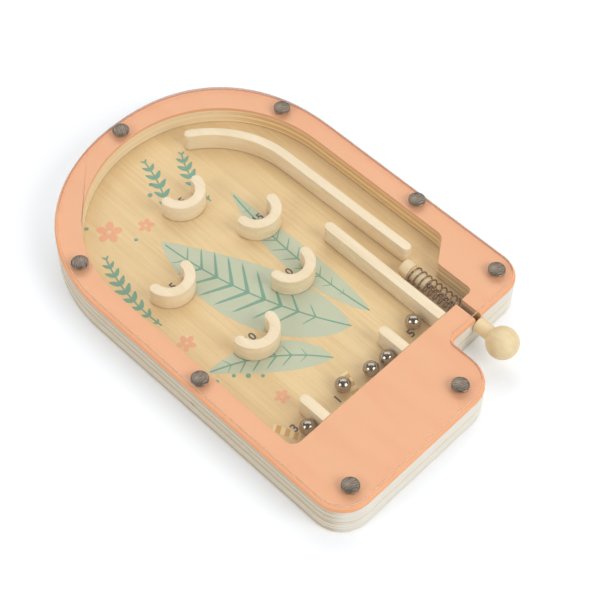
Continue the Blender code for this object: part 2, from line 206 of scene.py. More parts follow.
def laid_over(
    tree: Tree,
    value: Socket,
    between: Point,
    ground: Socket | Hue,
    top: Socket | Hue,
    strength: float = 1.0,
) -> Socket:
    """Add a colour over another where a value is high.

    Args:
        tree: The tree that gets the nodes.
        value: The value that decides.
        between: The values where the upper colour starts and where it is full.
        ground: The colour where the value is low.
        top: The colour where the value is high.
        strength: How much the upper colour covers where it is full.

    Returns:
        The socket with the colour.
    """
    settings = {"Value": value, **step(*between), "To Max": strength}
    share = add(tree, "ShaderNodeMapRange", settings)
    return add(tree, "ShaderNodeMix", mixed(share, ground, top), MIX_RESULT)


MATERIALS: dict["Finish", bpy.types.Material] = {}


@dataclass(frozen=True)
class Finish:
    """A surface, made as one material the first time that it is asked for."""

    name: str

    def shade(self, tree: Tree) -> Socket:
        """Add the shader's nodes and return its output."""
        raise NotImplementedError

    def material(self) -> bpy.types.Material:
        """Return the finish's material, the same one at each call."""
        if self in MATERIALS:
            return MATERIALS[self]
        made = MATERIALS[self] = bpy.data.materials.new(self.name)
        made.use_nodes = True
        made.node_tree.nodes.clear()
        add(made.node_tree, "ShaderNodeOutputMaterial", {"Surface": self.shade(made.node_tree)})
        return made


@dataclass(frozen=True)
class ReliefFinish(Finish):
    """A surface with a colour, a gloss and a fine relief."""

    roughness: float = 0.5
    metallic: float = 0.0
    relief_mm: float = 0.03

    def relief_shader(self, tree: Tree, colour: Socket | Hue, height: Socket) -> Socket:
        """Add a Principled shader with the finish's relief.

        Args:
            tree: The tree that gets the nodes.
            colour: The base colour.
            height: A value that stands for the relief.

        Returns:
            The shader's output.
        """
        relief = {"Strength": 1.0, "Distance": self.relief_mm * MM, "Height": height}
        settings = {
            "Base Color": colour,
            "Roughness": self.roughness,
            "Metallic": self.metallic,
            "Normal": add(tree, "ShaderNodeBump", relief),
        }
        return add(tree, "ShaderNodeBsdfPrincipled", settings)


# ---------------------------------------------------------------- finishes


@dataclass(frozen=True)
class Grain:
    """Pale wood as it looks on its face: soft streaks along the grain and short flecks."""

    pale: Hue
    warm: Hue
    fleck: Hue
    streak_mm: Triple = (1.3, 38.0, 1.3)
    band_mm: Triple = (11.0, 130.0, 11.0)
    fleck_mm: Triple = (0.35, 3.2, 0.35)
    fleck_strength: float = 0.35
    warm_between: Point = (0.70, 1.32)
    fleck_between: Point = (0.62, 0.80)

    def colour(self, tree: Tree, source: Socket) -> Socket:
        """Add the grain's colour.

        Args:
            tree: The tree that gets the nodes.
            source: The coordinates, in metres.

        Returns:
            The socket with the colour.
        """
        streaks = stretched_noise(tree, source, self.streak_mm, detail=4.0)
        bands = stretched_noise(tree, source, self.band_mm, detail=2.0)
        both = add(tree, "ShaderNodeMath", {"operation": "ADD", 0: streaks, 1: bands})
        base = laid_over(tree, both, self.warm_between, self.pale, self.warm)
        flecks = stretched_noise(tree, source, self.fleck_mm, detail=1.0)
        return laid_over(tree, flecks, self.fleck_between, base, self.fleck, self.fleck_strength)


PLAYFIELD_GRAIN = Grain(Hue.BIRCH_PALE, Hue.BIRCH_WARM, Hue.BIRCH_FLECK)
WALL_GRAIN = Grain(Hue.WALL_PALE, Hue.WALL_WARM, Hue.BIRCH_WARM, fleck_strength=0.25)
WALL_SIDE_GRAIN = Grain(
    Hue.WALL_SIDE,
    Hue.WALL_SIDE_WARM,
    Hue.BIRCH_FLECK,
    streak_mm=(9.0, 9.0, 0.7),
    band_mm=(30.0, 30.0, 5.0),
    fleck_mm=(0.6, 0.6, 0.25),
    fleck_strength=0.3,
)
PORE_MM = (0.5, 9.0, 0.5)       # pores of planed wood, long along the grain


@dataclass(frozen=True)
class Spot:
    """A mark inside an ellipsoid, such as a knot or a seam."""

    middle_mm: Triple
    half_mm: Triple
    hue: Hue
    fade: Point = (1.2, 0.8)

    def over(self, tree: Tree, source: Socket, ground: Socket) -> Socket:
        """Add the mark over a colour.

        Args:
            tree: The tree that gets the nodes.
            source: The coordinates, in metres.
            ground: The colour round the mark.

        Returns:
            The socket with the colour.
        """
        settings = {
            "Vector": source,
            "Location": tuple(-place / half for place, half in zip(self.middle_mm, self.half_mm)),
            "Scale": tuple(1 / (half * MM) for half in self.half_mm),
        }
        own = add(tree, "ShaderNodeMapping", settings)
        away = add(tree, "ShaderNodeVectorMath", {"operation": "LENGTH", 0: own}, "Value")
        return laid_over(tree, away, self.fade, ground, self.hue)


@dataclass(frozen=True)
class Plies:
    """Edge of plywood: layers that lie flat, dark glue lines, and pores in the cross layers.

    The sides that face the player and the arch are painted plainer and paler than the
    sides to the left and right: painted light for the bright light on the front side.
    """

    levels_mm: tuple[float, ...] = (
        0.0, 1.7, 4.0, 6.6, 9.7, 12.8, 14.2, 15.9, 18.0, 19.3, 21.0, 26.0
    )
    creams: tuple[bool, ...] = (
        True, False, True, True, False, True, True, False, True, True, False
    )
    cream: Hue = Hue.PLY_CREAM
    tan: Hue = Hue.PLY_TAN
    glue: Hue = Hue.PLY_GLUE
    # painted light: the paler lit-front colour, how much it covers, and the facings where it
    # starts and is full
    front: Hue = Hue.PLY_FRONT
    lit_front_share: float = 0.75
    lit_front_between: Point = (0.35, 0.8)
    glue_mm: float = 0.28
    wave_mm: Triple = (16.0, 16.0, 400.0)
    wave_height_mm: float = 0.5
    pore_mm: Triple = (0.5, 0.5, 0.28)
    pore_between: Point = (0.52, 0.80)
    pore_strength: float = 0.22
    mark: Spot = Spot((-100.0, -30.5, 12.0), (1.0, 1.8, 0.5), Hue.KNOT)

    def layers(self, tree: Tree, height: Socket) -> Socket:
        """Add the layers' colours by height.

        Args:
            tree: The tree that gets the nodes.
            height: The waved height, in metres.

        Returns:
            The socket with the colour.
        """
        middle = self.wave_height_mm / 2
        top = self.levels_mm[-1] + middle
        span = {"Value": height, "From Min": middle * MM, "From Max": top * MM}
        colour = add(tree, "ShaderNodeValToRGB", {"Fac": add(tree, "ShaderNodeMapRange", span)})
        ramp = colour.node.color_ramp
        ramp.interpolation = "CONSTANT"
        ramp.elements.remove(ramp.elements[1])
        ramp.elements[0].color = linear(self.glue)
        for low, is_cream in zip(self.levels_mm, self.creams):
            if low:
                ramp.elements.new(low / top).color = linear(self.glue)
            tone = self.cream if is_cream else self.tan
            ramp.elements.new((low + self.glue_mm) / top).color = linear(tone)
        return colour

    def colour(self, tree: Tree, source: Socket) -> Socket:
        """Add the edge's colour.

        Args:
            tree: The tree that gets the nodes.
            source: The coordinates, in metres.

        Returns:
            The socket with the colour.
        """
        waves = stretched_noise(tree, source, self.wave_mm, detail=2.0)
        height = add(tree, "ShaderNodeSeparateXYZ", {"Vector": source}, "Z")
        settings = {"operation": "MULTIPLY_ADD", 0: waves, 1: self.wave_height_mm * MM, 2: height}
        layers = self.layers(tree, add(tree, "ShaderNodeMath", settings))
        pores = stretched_noise(tree, source, self.pore_mm, detail=2.0)
        layers = laid_over(tree, pores, self.pore_between, layers, self.glue, self.pore_strength)
        # painted light: edges that face along Y are laid over with the paler lit-front colour
        along = facing(tree, "Y", "Normal")
        size = add(tree, "ShaderNodeMath", {"operation": "ABSOLUTE", 0: along})
        sides = laid_over(tree, size, self.lit_front_between, layers, self.front, self.lit_front_share)
        return self.mark.over(tree, source, sides)


@dataclass(frozen=True)
class Plywood(ReliefFinish):
    """Lacquered birch plywood: grain on the flat faces, layers on the edges."""

    roughness: float = 0.42
    grain: Grain = PLAYFIELD_GRAIN
    plies: Plies = Plies()
    flat_between: Point = (0.55, 0.75)

    def shade(self, tree: Tree) -> Socket:
        """Add the shader's nodes and return its output."""
        source = add(tree, "ShaderNodeTexCoord", output="Object")
        flat = add(tree, "ShaderNodeMath", {"operation": "ABSOLUTE", 0: facing(tree, "Z")})
        edge, face = self.plies.colour(tree, source), self.grain.colour(tree, source)
        colour = laid_over(tree, flat, self.flat_between, edge, face)
        pores = stretched_noise(tree, source, PORE_MM, detail=3.0)
        return self.relief_shader(tree, colour, pores)


@dataclass(frozen=True)
class SolidWood(ReliefFinish):
    """Planed pale wood of the walls and cups, with a hint of layers at the sides and a painted
    shadow along the foot.
    """

    roughness: float = 0.45
    relief_mm: float = 0.025
    grain: Grain = WALL_GRAIN
    side_grain: Grain = WALL_SIDE_GRAIN
    foot_shade_between: Point = (13.2 * MM, 13.45 * MM)
    top_between: Point = (0.3, 0.8)

    def shade(self, tree: Tree) -> Socket:
        """Add the shader's nodes and return its output."""
        source = add(tree, "ShaderNodeTexCoord", output="Object")
        side, top = self.side_grain.colour(tree, source), self.grain.colour(tree, source)
        wood = laid_over(tree, facing(tree, "Z"), self.top_between, side, top)
        # painted shadow: darker towards the foot, where the wall meets the playfield
        height = add(tree, "ShaderNodeSeparateXYZ", {"Vector": source}, "Z")
        colour = laid_over(tree, height, self.foot_shade_between, Hue.WALL_FOOT, wood)
        pores = stretched_noise(tree, source, PORE_MM, detail=3.0)
        return self.relief_shader(tree, colour, pores)


@dataclass(frozen=True)
class PaintedPlywood(ReliefFinish):
    """Coral paint over plywood on the upper face and its rounded edge, bare layers below."""

    roughness: float = 0.38
    relief_mm: float = 0.02
    plies: Plies = Plies()
    # painted light: the rounded edge is painted deeper than the covered top, standing in for the
    # sheet's reflected haze that pales only the top
    edge: Hue = Hue.CORAL_EDGE
    speckle_mm: Triple = (0.6, 0.6, 0.6)
    cloud_mm: Triple = (14.0, 60.0, 14.0)
    cloud_between: Point = (0.35, 0.75)
    run_between: Point = (23.5 * MM, 23.8 * MM)
    paint_between: Point = (0.08, 0.16)
    flat_between: Point = (0.90, 0.99)

    def shade(self, tree: Tree) -> Socket:
        """Add the shader's nodes and return its output."""
        source = add(tree, "ShaderNodeTexCoord", output="Object")
        upright = facing(tree, "Z")
        height = add(tree, "ShaderNodeSeparateXYZ", {"Vector": source}, "Z")
        runs_over, faces_up = (
            add(tree, "ShaderNodeMapRange", {"Value": value, **step(*between)})
            for value, between in ((height, self.run_between), (upright, self.paint_between))
        )
        painted = add(tree, "ShaderNodeMath", {"operation": "MAXIMUM", 0: faces_up, 1: runs_over})
        clouds = stretched_noise(tree, source, self.cloud_mm, detail=3.0)
        paint = laid_over(tree, clouds, self.cloud_between, Hue.CORAL, Hue.CORAL_DEEP)
        # painted light: rounded, sideways faces take the deeper edge hue
        coral = laid_over(tree, upright, self.flat_between, self.edge, paint)
        bare = self.plies.colour(tree, source)
        colour = add(tree, "ShaderNodeMix", mixed(painted, bare, coral), MIX_RESULT)
        speckles = stretched_noise(tree, source, self.speckle_mm, detail=2.0)
        return self.relief_shader(tree, colour, speckles)


@dataclass(frozen=True)
class PrintedInk(ReliefFinish):
    """Thin matt ink on the playfield, through which the wood's grain shows faintly."""

    relief_mm: float = 0.02
    hue: Hue = Hue.MINT
    grain_shows: float = 0.16

    def shade(self, tree: Tree) -> Socket:
        """Add the shader's nodes and return its output."""
        source = add(tree, "ShaderNodeTexCoord", output="Object")
        grain = PLAYFIELD_GRAIN.colour(tree, source)
        ink = add(tree, "ShaderNodeMix", mixed(self.grain_shows, self.hue, grain), MIX_RESULT)
        pores = stretched_noise(tree, source, PORE_MM, detail=3.0)
        return self.relief_shader(tree, ink, pores)


@dataclass(frozen=True)
class TurnedBeech(ReliefFinish):
    """Beech turned on a lathe: grain along the plunger's axis and small ray flecks."""

    turning_mm: Triple = (0.4, 5.0, 0.6)
    grain: Grain = Grain(
        Hue.BEECH_PALE,
        Hue.BEECH_WARM,
        Hue.BEECH_RAY,
        streak_mm=(1.6, 6.0, 2.4),
        band_mm=(7.0, 12.0, 7.0),
        fleck_mm=(0.4, 1.2, 0.6),
    )

    def shade(self, tree: Tree) -> Socket:
        """Add the shader's nodes and return its output."""
        source = add(tree, "ShaderNodeTexCoord", output="Object")
        marks = stretched_noise(tree, source, self.turning_mm, detail=3.0)
        return self.relief_shader(tree, self.grain.colour(tree, source), marks)


@dataclass(frozen=True)
class Steel(ReliefFinish):
    """Polished steel with very fine scratches."""

    roughness: float = 0.17
    metallic: float = 1.0
    relief_mm: float = 0.0012
    hue: Hue = Hue.STEEL
    scratch_mm: Triple = (0.25, 0.9, 0.25)

    def shade(self, tree: Tree) -> Socket:
        """Add the shader's nodes and return its output."""
        source = add(tree, "ShaderNodeTexCoord", output="Object")
        scratches = stretched_noise(tree, source, self.scratch_mm, detail=2.0)
        return self.relief_shader(tree, self.hue, scratches)


@dataclass(frozen=True)
class BurnishedSteel(ReliefFinish):
    """Brown burnished steel of the pin heads, brushed one way, each in its own direction."""

    roughness: float = 0.38
    metallic: float = 0.8
    relief_mm: float = 0.05
    streak_mm: Triple = (2.6, 0.34, 2.0)
    light_between: Point = (0.34, 0.68)

    def shade(self, tree: Tree) -> Socket:
        """Add the shader's nodes and return its output."""
        own = {"attribute_name": Scatter.PLACE_ATTRIBUTE}
        source = add(tree, "ShaderNodeAttribute", own, "Vector")
        streaks = stretched_noise(tree, source, self.streak_mm, detail=3.0)
        colour = laid_over(tree, streaks, self.light_between, Hue.PIN_DARK, Hue.PIN_LIGHT)
        return self.relief_shader(tree, colour, streaks)


@dataclass(frozen=True)
class ClearAcrylic(Finish):
    """Clear sheet: it lets light straight through and mirrors a little of the room."""

    gloss: float = 0.02
    ior: float = 1.49

    def shade(self, tree: Tree) -> Socket:
        """Add the shader's nodes and return its output."""
        bend = add(tree, "ShaderNodeFresnel", {"IOR": self.ior})
        inside = add(tree, "ShaderNodeNewGeometry", output="Backfacing")
        settings = {"operation": "SUBTRACT", "use_clamp": True, 0: bend, 1: inside}
        mirror = add(tree, "ShaderNodeMath", settings)
        clear = add(tree, "ShaderNodeBsdfTransparent")
        glossy = add(tree, "ShaderNodeBsdfGlossy", {"Roughness": self.gloss})
        return add(tree, "ShaderNodeMixShader", {0: mirror, 1: clear, 2: glossy})


@dataclass(frozen=True)
class AcrylicEdge(Finish):
    """Sawn and flamed edge of the sheet: it looks milky, but casts no shadow."""

    hue: Hue
    milk: float = 0.7
    roughness: float = 0.25

    def shade(self, tree: Tree) -> Socket:
        """Add the shader's nodes and return its output."""
        clear = add(tree, "ShaderNodeBsdfTransparent")
        settings = {"Base Color": self.hue, "Roughness": self.roughness}
        milky = add(tree, "ShaderNodeBsdfPrincipled", settings)
        lets_light_by = add(tree, "ShaderNodeLightPath", output="Is Shadow Ray")
        span = {"Value": lets_light_by, "To Min": self.milk, "To Max": 0.0}
        share = add(tree, "ShaderNodeMapRange", span)
        return add(tree, "ShaderNodeMixShader", {0: share, 1: clear, 2: milky})


def seen(tree: Tree) -> Socket:
    """Add a share that is one where the camera, a mirroring or a clear surface looks."""
    share = add(tree, "ShaderNodeLightPath", output="Is Camera Ray")
    rays = share.node.outputs
    for ray in (rays["Is Glossy Ray"], rays["Is Transmission Ray"]):
        share = add(tree, "ShaderNodeMath", {"operation": "MAXIMUM", 0: share, 1: ray})
    return share


@dataclass(frozen=True)
class StudioFloor(Finish):
    """White paper, lifted to plain white where it is seen, so that only shadows stay on it."""

    lift: float = 0.17

    def shade(self, tree: Tree) -> Socket:
        """Add the shader's nodes and return its output."""
        paper = add(tree, "ShaderNodeBsdfDiffuse", {"Color": Hue.FLOOR})
        glow = add(tree, "ShaderNodeEmission", {"Strength": self.lift})
        both = add(tree, "ShaderNodeAddShader", {0: paper, 1: glow})
        return add(tree, "ShaderNodeMixShader", {0: seen(tree), 1: paper, 2: both})


# ---------------------------------------------------------------- mesh helpers


def new_object(name: str, mesh: Mesh, *finishes: Finish) -> Piece:
    """Put a mesh in the scene with its materials.

    Args:
        name: The piece's name.
        mesh: The mesh, whose place is in its vertices.
        finishes: The finishes for the material slots, in order.

    Returns:
        The new object.
    """
    for finish in finishes:
        mesh.materials.append(finish.material())
    made = bpy.data.objects.new(name, mesh)
    bpy.context.scene.collection.objects.link(made)
    return made


def closed_mesh(name: str, work: Work) -> Mesh:
    """Turn working geometry into a mesh with faces out and sharp edges kept sharp.

    Args:
        name: The mesh's name.
        work: The geometry, which is freed.

    Returns:
        The mesh.
    """
    bmesh.ops.recalc_face_normals(work, faces=work.faces)
    mesh = bpy.data.meshes.new(name)
    work.to_mesh(mesh)
    work.free()
    mesh.shade_smooth()
    mesh.set_sharp_from_angle(angle=SHARP_ANGLE)
    return mesh


def add_loft(work: Work, levels: list[tuple[float, Outline]]) -> None:
    """Add a closed body through outlines at rising levels.

    Args:
        work: The geometry that gets the body.
        levels: Height and outline of each level, all with as many points.
    """
    rows = [[work.verts.new((x, y, height)) for x, y in loop] for height, loop in levels]
    for low, high in zip(rows, rows[1:]):
        for i, corner in enumerate(low):
            following = (i + 1) % len(low)
            work.faces.new((corner, low[following], high[following], high[i]))
    work.faces.new(reversed(rows[0]))
    work.faces.new(rows[-1])


def turned(name: str, profile: list[Point], axis: Vector, sides: int) -> Mesh:
    """Turn a profile about a line along Y.

    Args:
        name: The mesh's name.
        profile: Radius and place along Y of each ring; a radius of zero is a pole.
        axis: A point of the line.
        sides: How many sides a ring has.

    Returns:
        The closed mesh.
    """
    work = bmesh.new()
    rows = []
    for radius, along in profile:
        count = sides if radius else 1
        turns = [2 * math.pi * i / count for i in range(count)]
        ring = [Vector((radius * math.cos(a), along, radius * math.sin(a))) for a in turns]
        rows.append([work.verts.new(axis + point) for point in ring])
    for low, high in zip(rows, rows[1:]):
        for i in range(sides):
            following = (i + 1) % sides
            ends = [low[0]] if len(low) == 1 else [low[i], low[following]]
            others = [high[0]] if len(high) == 1 else [high[following], high[i]]
            work.faces.new(ends + others)
    return closed_mesh(name, work)


def arc(centre: Point, radius: float, start: float, end: float, steps: int) -> Outline:
    """Return points on an arc between two angles in radians.

    Args:
        centre: The arc's centre.
        radius: The arc's radius.
        start: The first angle.
        end: The last angle.
        steps: How many chords the arc has.

    Returns:
        One point more than there are steps.
    """
    angles = [start + (end - start) * i / steps for i in range(steps + 1)]
    return [(centre[0] + radius * math.cos(a), centre[1] + radius * math.sin(a)) for a in angles]


def bar_outline(path: Outline, width: float, square_start: bool, inset: float) -> Outline:
    """Return the outline of a bar of even width along a path.

    Args:
        path: The bar's middle line, whose ends are the middles of the round ends.
        width: The bar's width.
        square_start: Whether the first end is square instead of round.
        inset: How far the whole outline moves inwards.

    Returns:
        The closed outline.
    """
    points = [Vector(p) for p in path]
    half = width / 2 - inset
    sides = []
    for i in range(len(points)):
        along = points[min(i + 1, len(points) - 1)] - points[max(i - 1, 0)]
        sides.append(Vector((along.y, -along.x)).normalized() * half)
    if square_start:
        points[0] += (points[1] - points[0]).normalized() * inset
    right = [(p + s)[:] for p, s in zip(points, sides)]
    left = [(p - s)[:] for p, s in zip(points, sides)]
    end_angle = math.atan2(sides[-1].y, sides[-1].x)
    outline = right[:-1] + arc(points[-1][:], half, end_angle, end_angle + math.pi, CAP_STEPS)
    if square_start:
        return outline + left[-2::-1]
    start_angle = math.atan2(-sides[0].y, -sides[0].x)
    cap = arc(points[0][:], half, start_angle, start_angle + math.pi, CAP_STEPS)
    return outline + left[-2:0:-1] + cap[:-1]


def eased_bar(
    name: str, path: Outline, width: float, square_start: bool, span: Point, ease: float
) -> Mesh:
    """Return an upright bar of even width along a path, with eased edges.

    Args:
        name: The mesh's name.
        path: The bar's middle line.
        width: The bar's width.
        square_start: Whether the first end is square instead of round.
        span: The heights of its foot and its top.
        ease: How far the ease reaches from each edge.

    Returns:
        The closed mesh.
    """
    levels = []
    for height, side in zip(span, (1, -1)):
        for angle in (0, math.pi / 4, math.pi / 2)[::side]:
            inset, rise = ease * (1 - math.sin(angle)), ease * (1 - math.cos(angle))
            levels.append((height + side * rise, bar_outline(path, width, square_start, inset)))
    work = bmesh.new()
    add_loft(work, levels)
    return closed_mesh(name, work)


def evaluated_mesh(obj: Piece) -> Mesh:
    """Return a plain mesh of what an object's modifiers make, with the modifiers removed.

    Args:
        obj: The object, which loses its modifiers.

    Returns:
        The new mesh.
    """
    bpy.context.view_layer.update()
    graph = bpy.context.evaluated_depsgraph_get()
    mesh = bpy.data.meshes.new_from_object(
        obj.evaluated_get(graph), preserve_all_data_layers=True, depsgraph=graph
    )
    obj.modifiers.clear()
    return mesh


def eased_copy(node: str, name: str, width: float, finish: Finish) -> Piece:
    """Return a copy of a CAD node whose sharp edges are eased, in the node's place.

    Args:
        node: The CAD node's name.
        name: The new piece's name.
        width: How far the ease reaches from each edge.
        finish: The copy's finish.

    Returns:
        The new piece.
    """
    work = bmesh.new()
    work.from_mesh(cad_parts[node].data)
    bmesh.ops.remove_doubles(work, verts=work.verts, dist=MERGE_DISTANCE)
    bmesh.ops.dissolve_limit(work, angle_limit=FLAT_ANGLE, verts=work.verts, edges=work.edges)
    mesh = bpy.data.meshes.new(name)
    work.to_mesh(mesh)
    work.free()
    made = new_object(name, mesh)
    made.data.shade_smooth()
    made.data.set_sharp_from_angle(angle=LAYER_SHARP_ANGLE)
    ease = made.modifiers.new("ease", "BEVEL")
    ease.width, ease.segments = width, 1
    ease.limit_method, ease.angle_limit = "ANGLE", EASED_ANGLE
    level = made.modifiers.new("level", "WEIGHTED_NORMAL")
    level.keep_sharp, level.weight = True, 100
    made.data = evaluated_mesh(made)
    made.data.materials.clear()
    made.data.materials.append(finish.material())
    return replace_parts(made, node)


# ---------------------------------------------------------------- geometry node trees


class Modifier:
    """A Geometry Nodes modifier whose tree has named inputs."""

    def __init__(self, name: str) -> None:
        """Make an empty tree that takes and gives geometry.

        Args:
            name: The tree's name.
        """
        self.tree = bpy.data.node_groups.new(name, "GeometryNodeTree")
        for way in ("INPUT", "OUTPUT"):
            self.tree.interface.new_socket(
                "Geometry", in_out=way, socket_type="NodeSocketGeometry"
            )
        self.values: dict[str, object] = {}
        self.start = add(self.tree, "NodeGroupInput")
        self.models: list[Piece] = []

    def take(self, name: str, kind: str, value: object) -> Socket:
        """Add a named input.

        Args:
            name: The input's name.
            kind: Its socket's type name.
            value: Its value.

        Returns:
            The socket that gives the value inside the tree.
        """
        made = self.tree.interface.new_socket(name, in_out="INPUT", socket_type=kind)
        self.values[made.identifier] = value
        return self.start.node.outputs[name]

    def take_piece(self, piece: Mesh) -> Socket:
        """Add an input that holds the mesh to repeat, and return its geometry."""
        self.models.append(new_object(f"{self.tree.name}_model", piece))
        model = self.take("Piece", "NodeSocketObject", self.models[-1])
        return add(self.tree, "GeometryNodeObjectInfo", {"Object": model}, "Geometry")

    def end(self, geometry: Socket, finish: Finish) -> None:
        """Close the tree: instances become real and get their material.

        Args:
            geometry: The geometry to give out.
            finish: Its finish.
        """
        surface = self.take("Material", "NodeSocketMaterial", finish.material())
        real = add(self.tree, "GeometryNodeRealizeInstances", {"Geometry": geometry})
        settings = {"Geometry": real, "Material": surface}
        dressed = add(self.tree, "GeometryNodeSetMaterial", settings)
        add(self.tree, "NodeGroupOutput", {"Geometry": dressed})

    def run(self, name: str, mesh: Mesh) -> Mesh:
        """Evaluate the tree on a mesh.

        Args:
            name: The result's name.
            mesh: The mesh that the tree starts from.

        Returns:
            The plain mesh that the tree makes.
        """
        carrier = new_object(f"{name}_carrier", mesh)
        modifier = carrier.modifiers.new(name, "NODES")
        modifier.node_group = self.tree
        for identifier, value in self.values.items():
            modifier[identifier] = value
        made = evaluated_mesh(carrier)
        made.name = name
        for used in (carrier, *self.models):
            bpy.data.objects.remove(used)
        return made


@dataclass
class Scatter:
    """The same piece set at several places, as one mesh."""

    PLACE_ATTRIBUTE = "own_place"

    places: list[Triple]
    piece: Mesh
    finish: Finish
    largest_turn: float = 0.0
    seed: int = 3

    def mesh(self, name: str) -> Mesh:
        """Set the pieces at their places.

        Args:
            name: The mesh's name.

        Returns:
            The mesh of all pieces.
        """
        local = self.piece.attributes.new(self.PLACE_ATTRIBUTE, "FLOAT_VECTOR", "POINT")
        for vertex, entry in zip(self.piece.vertices, local.data):
            entry.vector = vertex.co
        modifier = Modifier(name)
        tree = modifier.tree
        piece = modifier.take_piece(self.piece)
        turn = modifier.take("Largest Turn", "NodeSocketFloat", self.largest_turn)
        seed = modifier.take("Seed", "NodeSocketInt", self.seed)
        settings = {"data_type": "FLOAT", RANDOM_MAX: turn, "Seed": seed}
        angle = add(tree, "FunctionNodeRandomValue", settings, RANDOM_VALUE)
        turns = add(tree, "ShaderNodeCombineXYZ", {"Z": angle})
        points = add(tree, "GeometryNodeMeshToPoints", {"Mesh": modifier.start})
        settings = {"Points": points, "Instance": piece, "Rotation": turns}
        modifier.end(add(tree, "GeometryNodeInstanceOnPoints", settings), self.finish)

        start = bpy.data.meshes.new(f"{name}_places")
        start.from_pydata(self.places, [], [])
        return modifier.run(name, start)


@dataclass
class AlongPath:
    """Flat pieces set in pairs along a line, like the ribs of a leaf or leaves on a stem."""

    path: Outline
    piece: Mesh
    finish: Finish
    level: float
    count: int = 9
    spread_degrees: float = 50.0
    longest: float = 0.012
    swell: float = 1.0
    trim: float = 0.06
    fullness: float = 0.7

    def mesh(self, name: str) -> Mesh:
        """Set the pieces along the path.

        Args:
            name: The mesh's name.

        Returns:
            The mesh of all pieces.
        """
        modifier = Modifier(name)
        tree = modifier.tree
        piece = modifier.take_piece(self.piece)
        count = modifier.take("Count", "NodeSocketInt", self.count)
        spread = modifier.take("Spread", "NodeSocketFloat", math.radians(self.spread_degrees))
        longest = modifier.take("Longest", "NodeSocketFloat", self.longest)
        swell = modifier.take("Swell", "NodeSocketFloat", self.swell)

        curve = add(tree, "GeometryNodeMeshToCurve", {"Mesh": modifier.start})
        settings = {"Curve": curve, "Start": self.trim, "End": 1 - self.trim}
        part = add(tree, "GeometryNodeTrimCurve", settings)
        settings = {"mode": "COUNT", "Curve": part, "Count": count}
        points = add(tree, "GeometryNodeCurveToPoints", settings)

        last = add(tree, "ShaderNodeMath", {"operation": "SUBTRACT", 0: count, 1: 1.0})
        index = add(tree, "GeometryNodeInputIndex")
        share = add(tree, "ShaderNodeMath", {"operation": "DIVIDE", 0: index, 1: last})
        angle = add(tree, "ShaderNodeMath", {"operation": "MULTIPLY", 0: share, 1: math.pi})
        wave = add(tree, "ShaderNodeMath", {"operation": "SINE", 0: angle})
        bulge = add(tree, "ShaderNodeMath", {"operation": "POWER", 0: wave, 1: self.fullness})
        settings = {"data_type": "FLOAT", "Factor": swell, "A": 1.0, "B": bulge}
        shape = add(tree, "ShaderNodeMix", settings, "Result")
        length = add(tree, "ShaderNodeMath", {"operation": "MULTIPLY", 0: shape, 1: longest})

        scale = add(tree, "ShaderNodeCombineXYZ", {"X": length, "Y": length, "Z": 1.0})
        settings = {"axis": "X", "pivot_axis": "Z", "Vector": points.node.outputs["Tangent"]}
        ahead = add(tree, "FunctionNodeAlignRotationToVector", settings)
        both = add(tree, "GeometryNodeJoinGeometry")
        for sign in (1.0, -1.0):
            swing = add(tree, "ShaderNodeMath", {"operation": "MULTIPLY", 0: spread, 1: sign})
            euler = add(tree, "ShaderNodeCombineXYZ", {"Z": swing})
            turn = add(tree, "FunctionNodeEulerToRotation", {0: euler})
            settings = {"rotation_space": "LOCAL", "Rotation": ahead, "Rotate By": turn}
            away = add(tree, "FunctionNodeRotateRotation", settings)
            settings = {"Points": points, "Instance": piece, "Rotation": away, "Scale": scale}
            side = add(tree, "GeometryNodeInstanceOnPoints", settings)
            tree.links.new(side, both.node.inputs[0])
        modifier.end(both, self.finish)

        start = bpy.data.meshes.new(f"{name}_path")
        edges = [(i, i + 1) for i in range(len(self.path) - 1)]
        start.from_pydata([(x, y, self.level) for x, y in self.path], edges, [])
        return modifier.run(name, start)


# ---------------------------------------------------------------- sub-assemblies


WIRE_FINISH = Steel("steel_wire", hue=Hue.WIRE, roughness=0.10)


def middle_of(node: str) -> Vector:
    """Return the middle of a CAD node's box."""
    low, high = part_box(node)
    return (low + high) / 2


@dataclass
class Shell:
    """The two layers of plywood: the base with the playfield, and the painted ring."""

    ease: float = 0.35 * MM
    flat_limit: float = 0.9
    seam: Spot = Spot((58.1, 115.7, 21.5), (0.3, 4.0, 5.0), Hue.WALL_PALE)

    def build(self) -> None:
        """Make both layers and let them ride on the board."""
        base = eased_copy("base_board", "plywood_base", self.ease, Plywood("lacquered_birch"))
        ring = eased_copy("side_frame", "painted_ring", self.ease, PaintedPlywood("coral_paint"))
        # painted light: the ring's inward faces get a warmer copy of the plies, standing in for
        # warm light bounced inside the tray
        warm = Plies(
            levels_mm=(0.0, 13.3, 15.4, 17.4, 20.4, 22.2, 26.0),
            creams=(True, True, False, True, False, True),
            cream=Hue.PLY_CREAM_WARM,
            tan=Hue.PLY_TAN_WARM,
            glue=Hue.PLY_GLUE_WARM,
            front=Hue.PLY_FRONT_WARM,
            lit_front_share=0.7,
            mark=self.seam,
        )
        # painted light: the inner eased edge takes the plain coral, lighter than the edge hue, as
        # a lift against the shade that falls there
        inner = PaintedPlywood("coral_paint_inner", plies=warm, edge=Hue.CORAL)
        ring.data.materials.append(inner.material())
        for face in ring.data.polygons:
            inward = face.normal.xy.dot(face.center.xy) < 0
            face.material_index = int(inward and abs(face.normal.z) < self.flat_limit)
        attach(base, "board")
        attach(ring, "board")
        faces = len(base.data.polygons), len(ring.data.polygons)
        log.info("shell: base with %d faces, ring with %d", *faces)


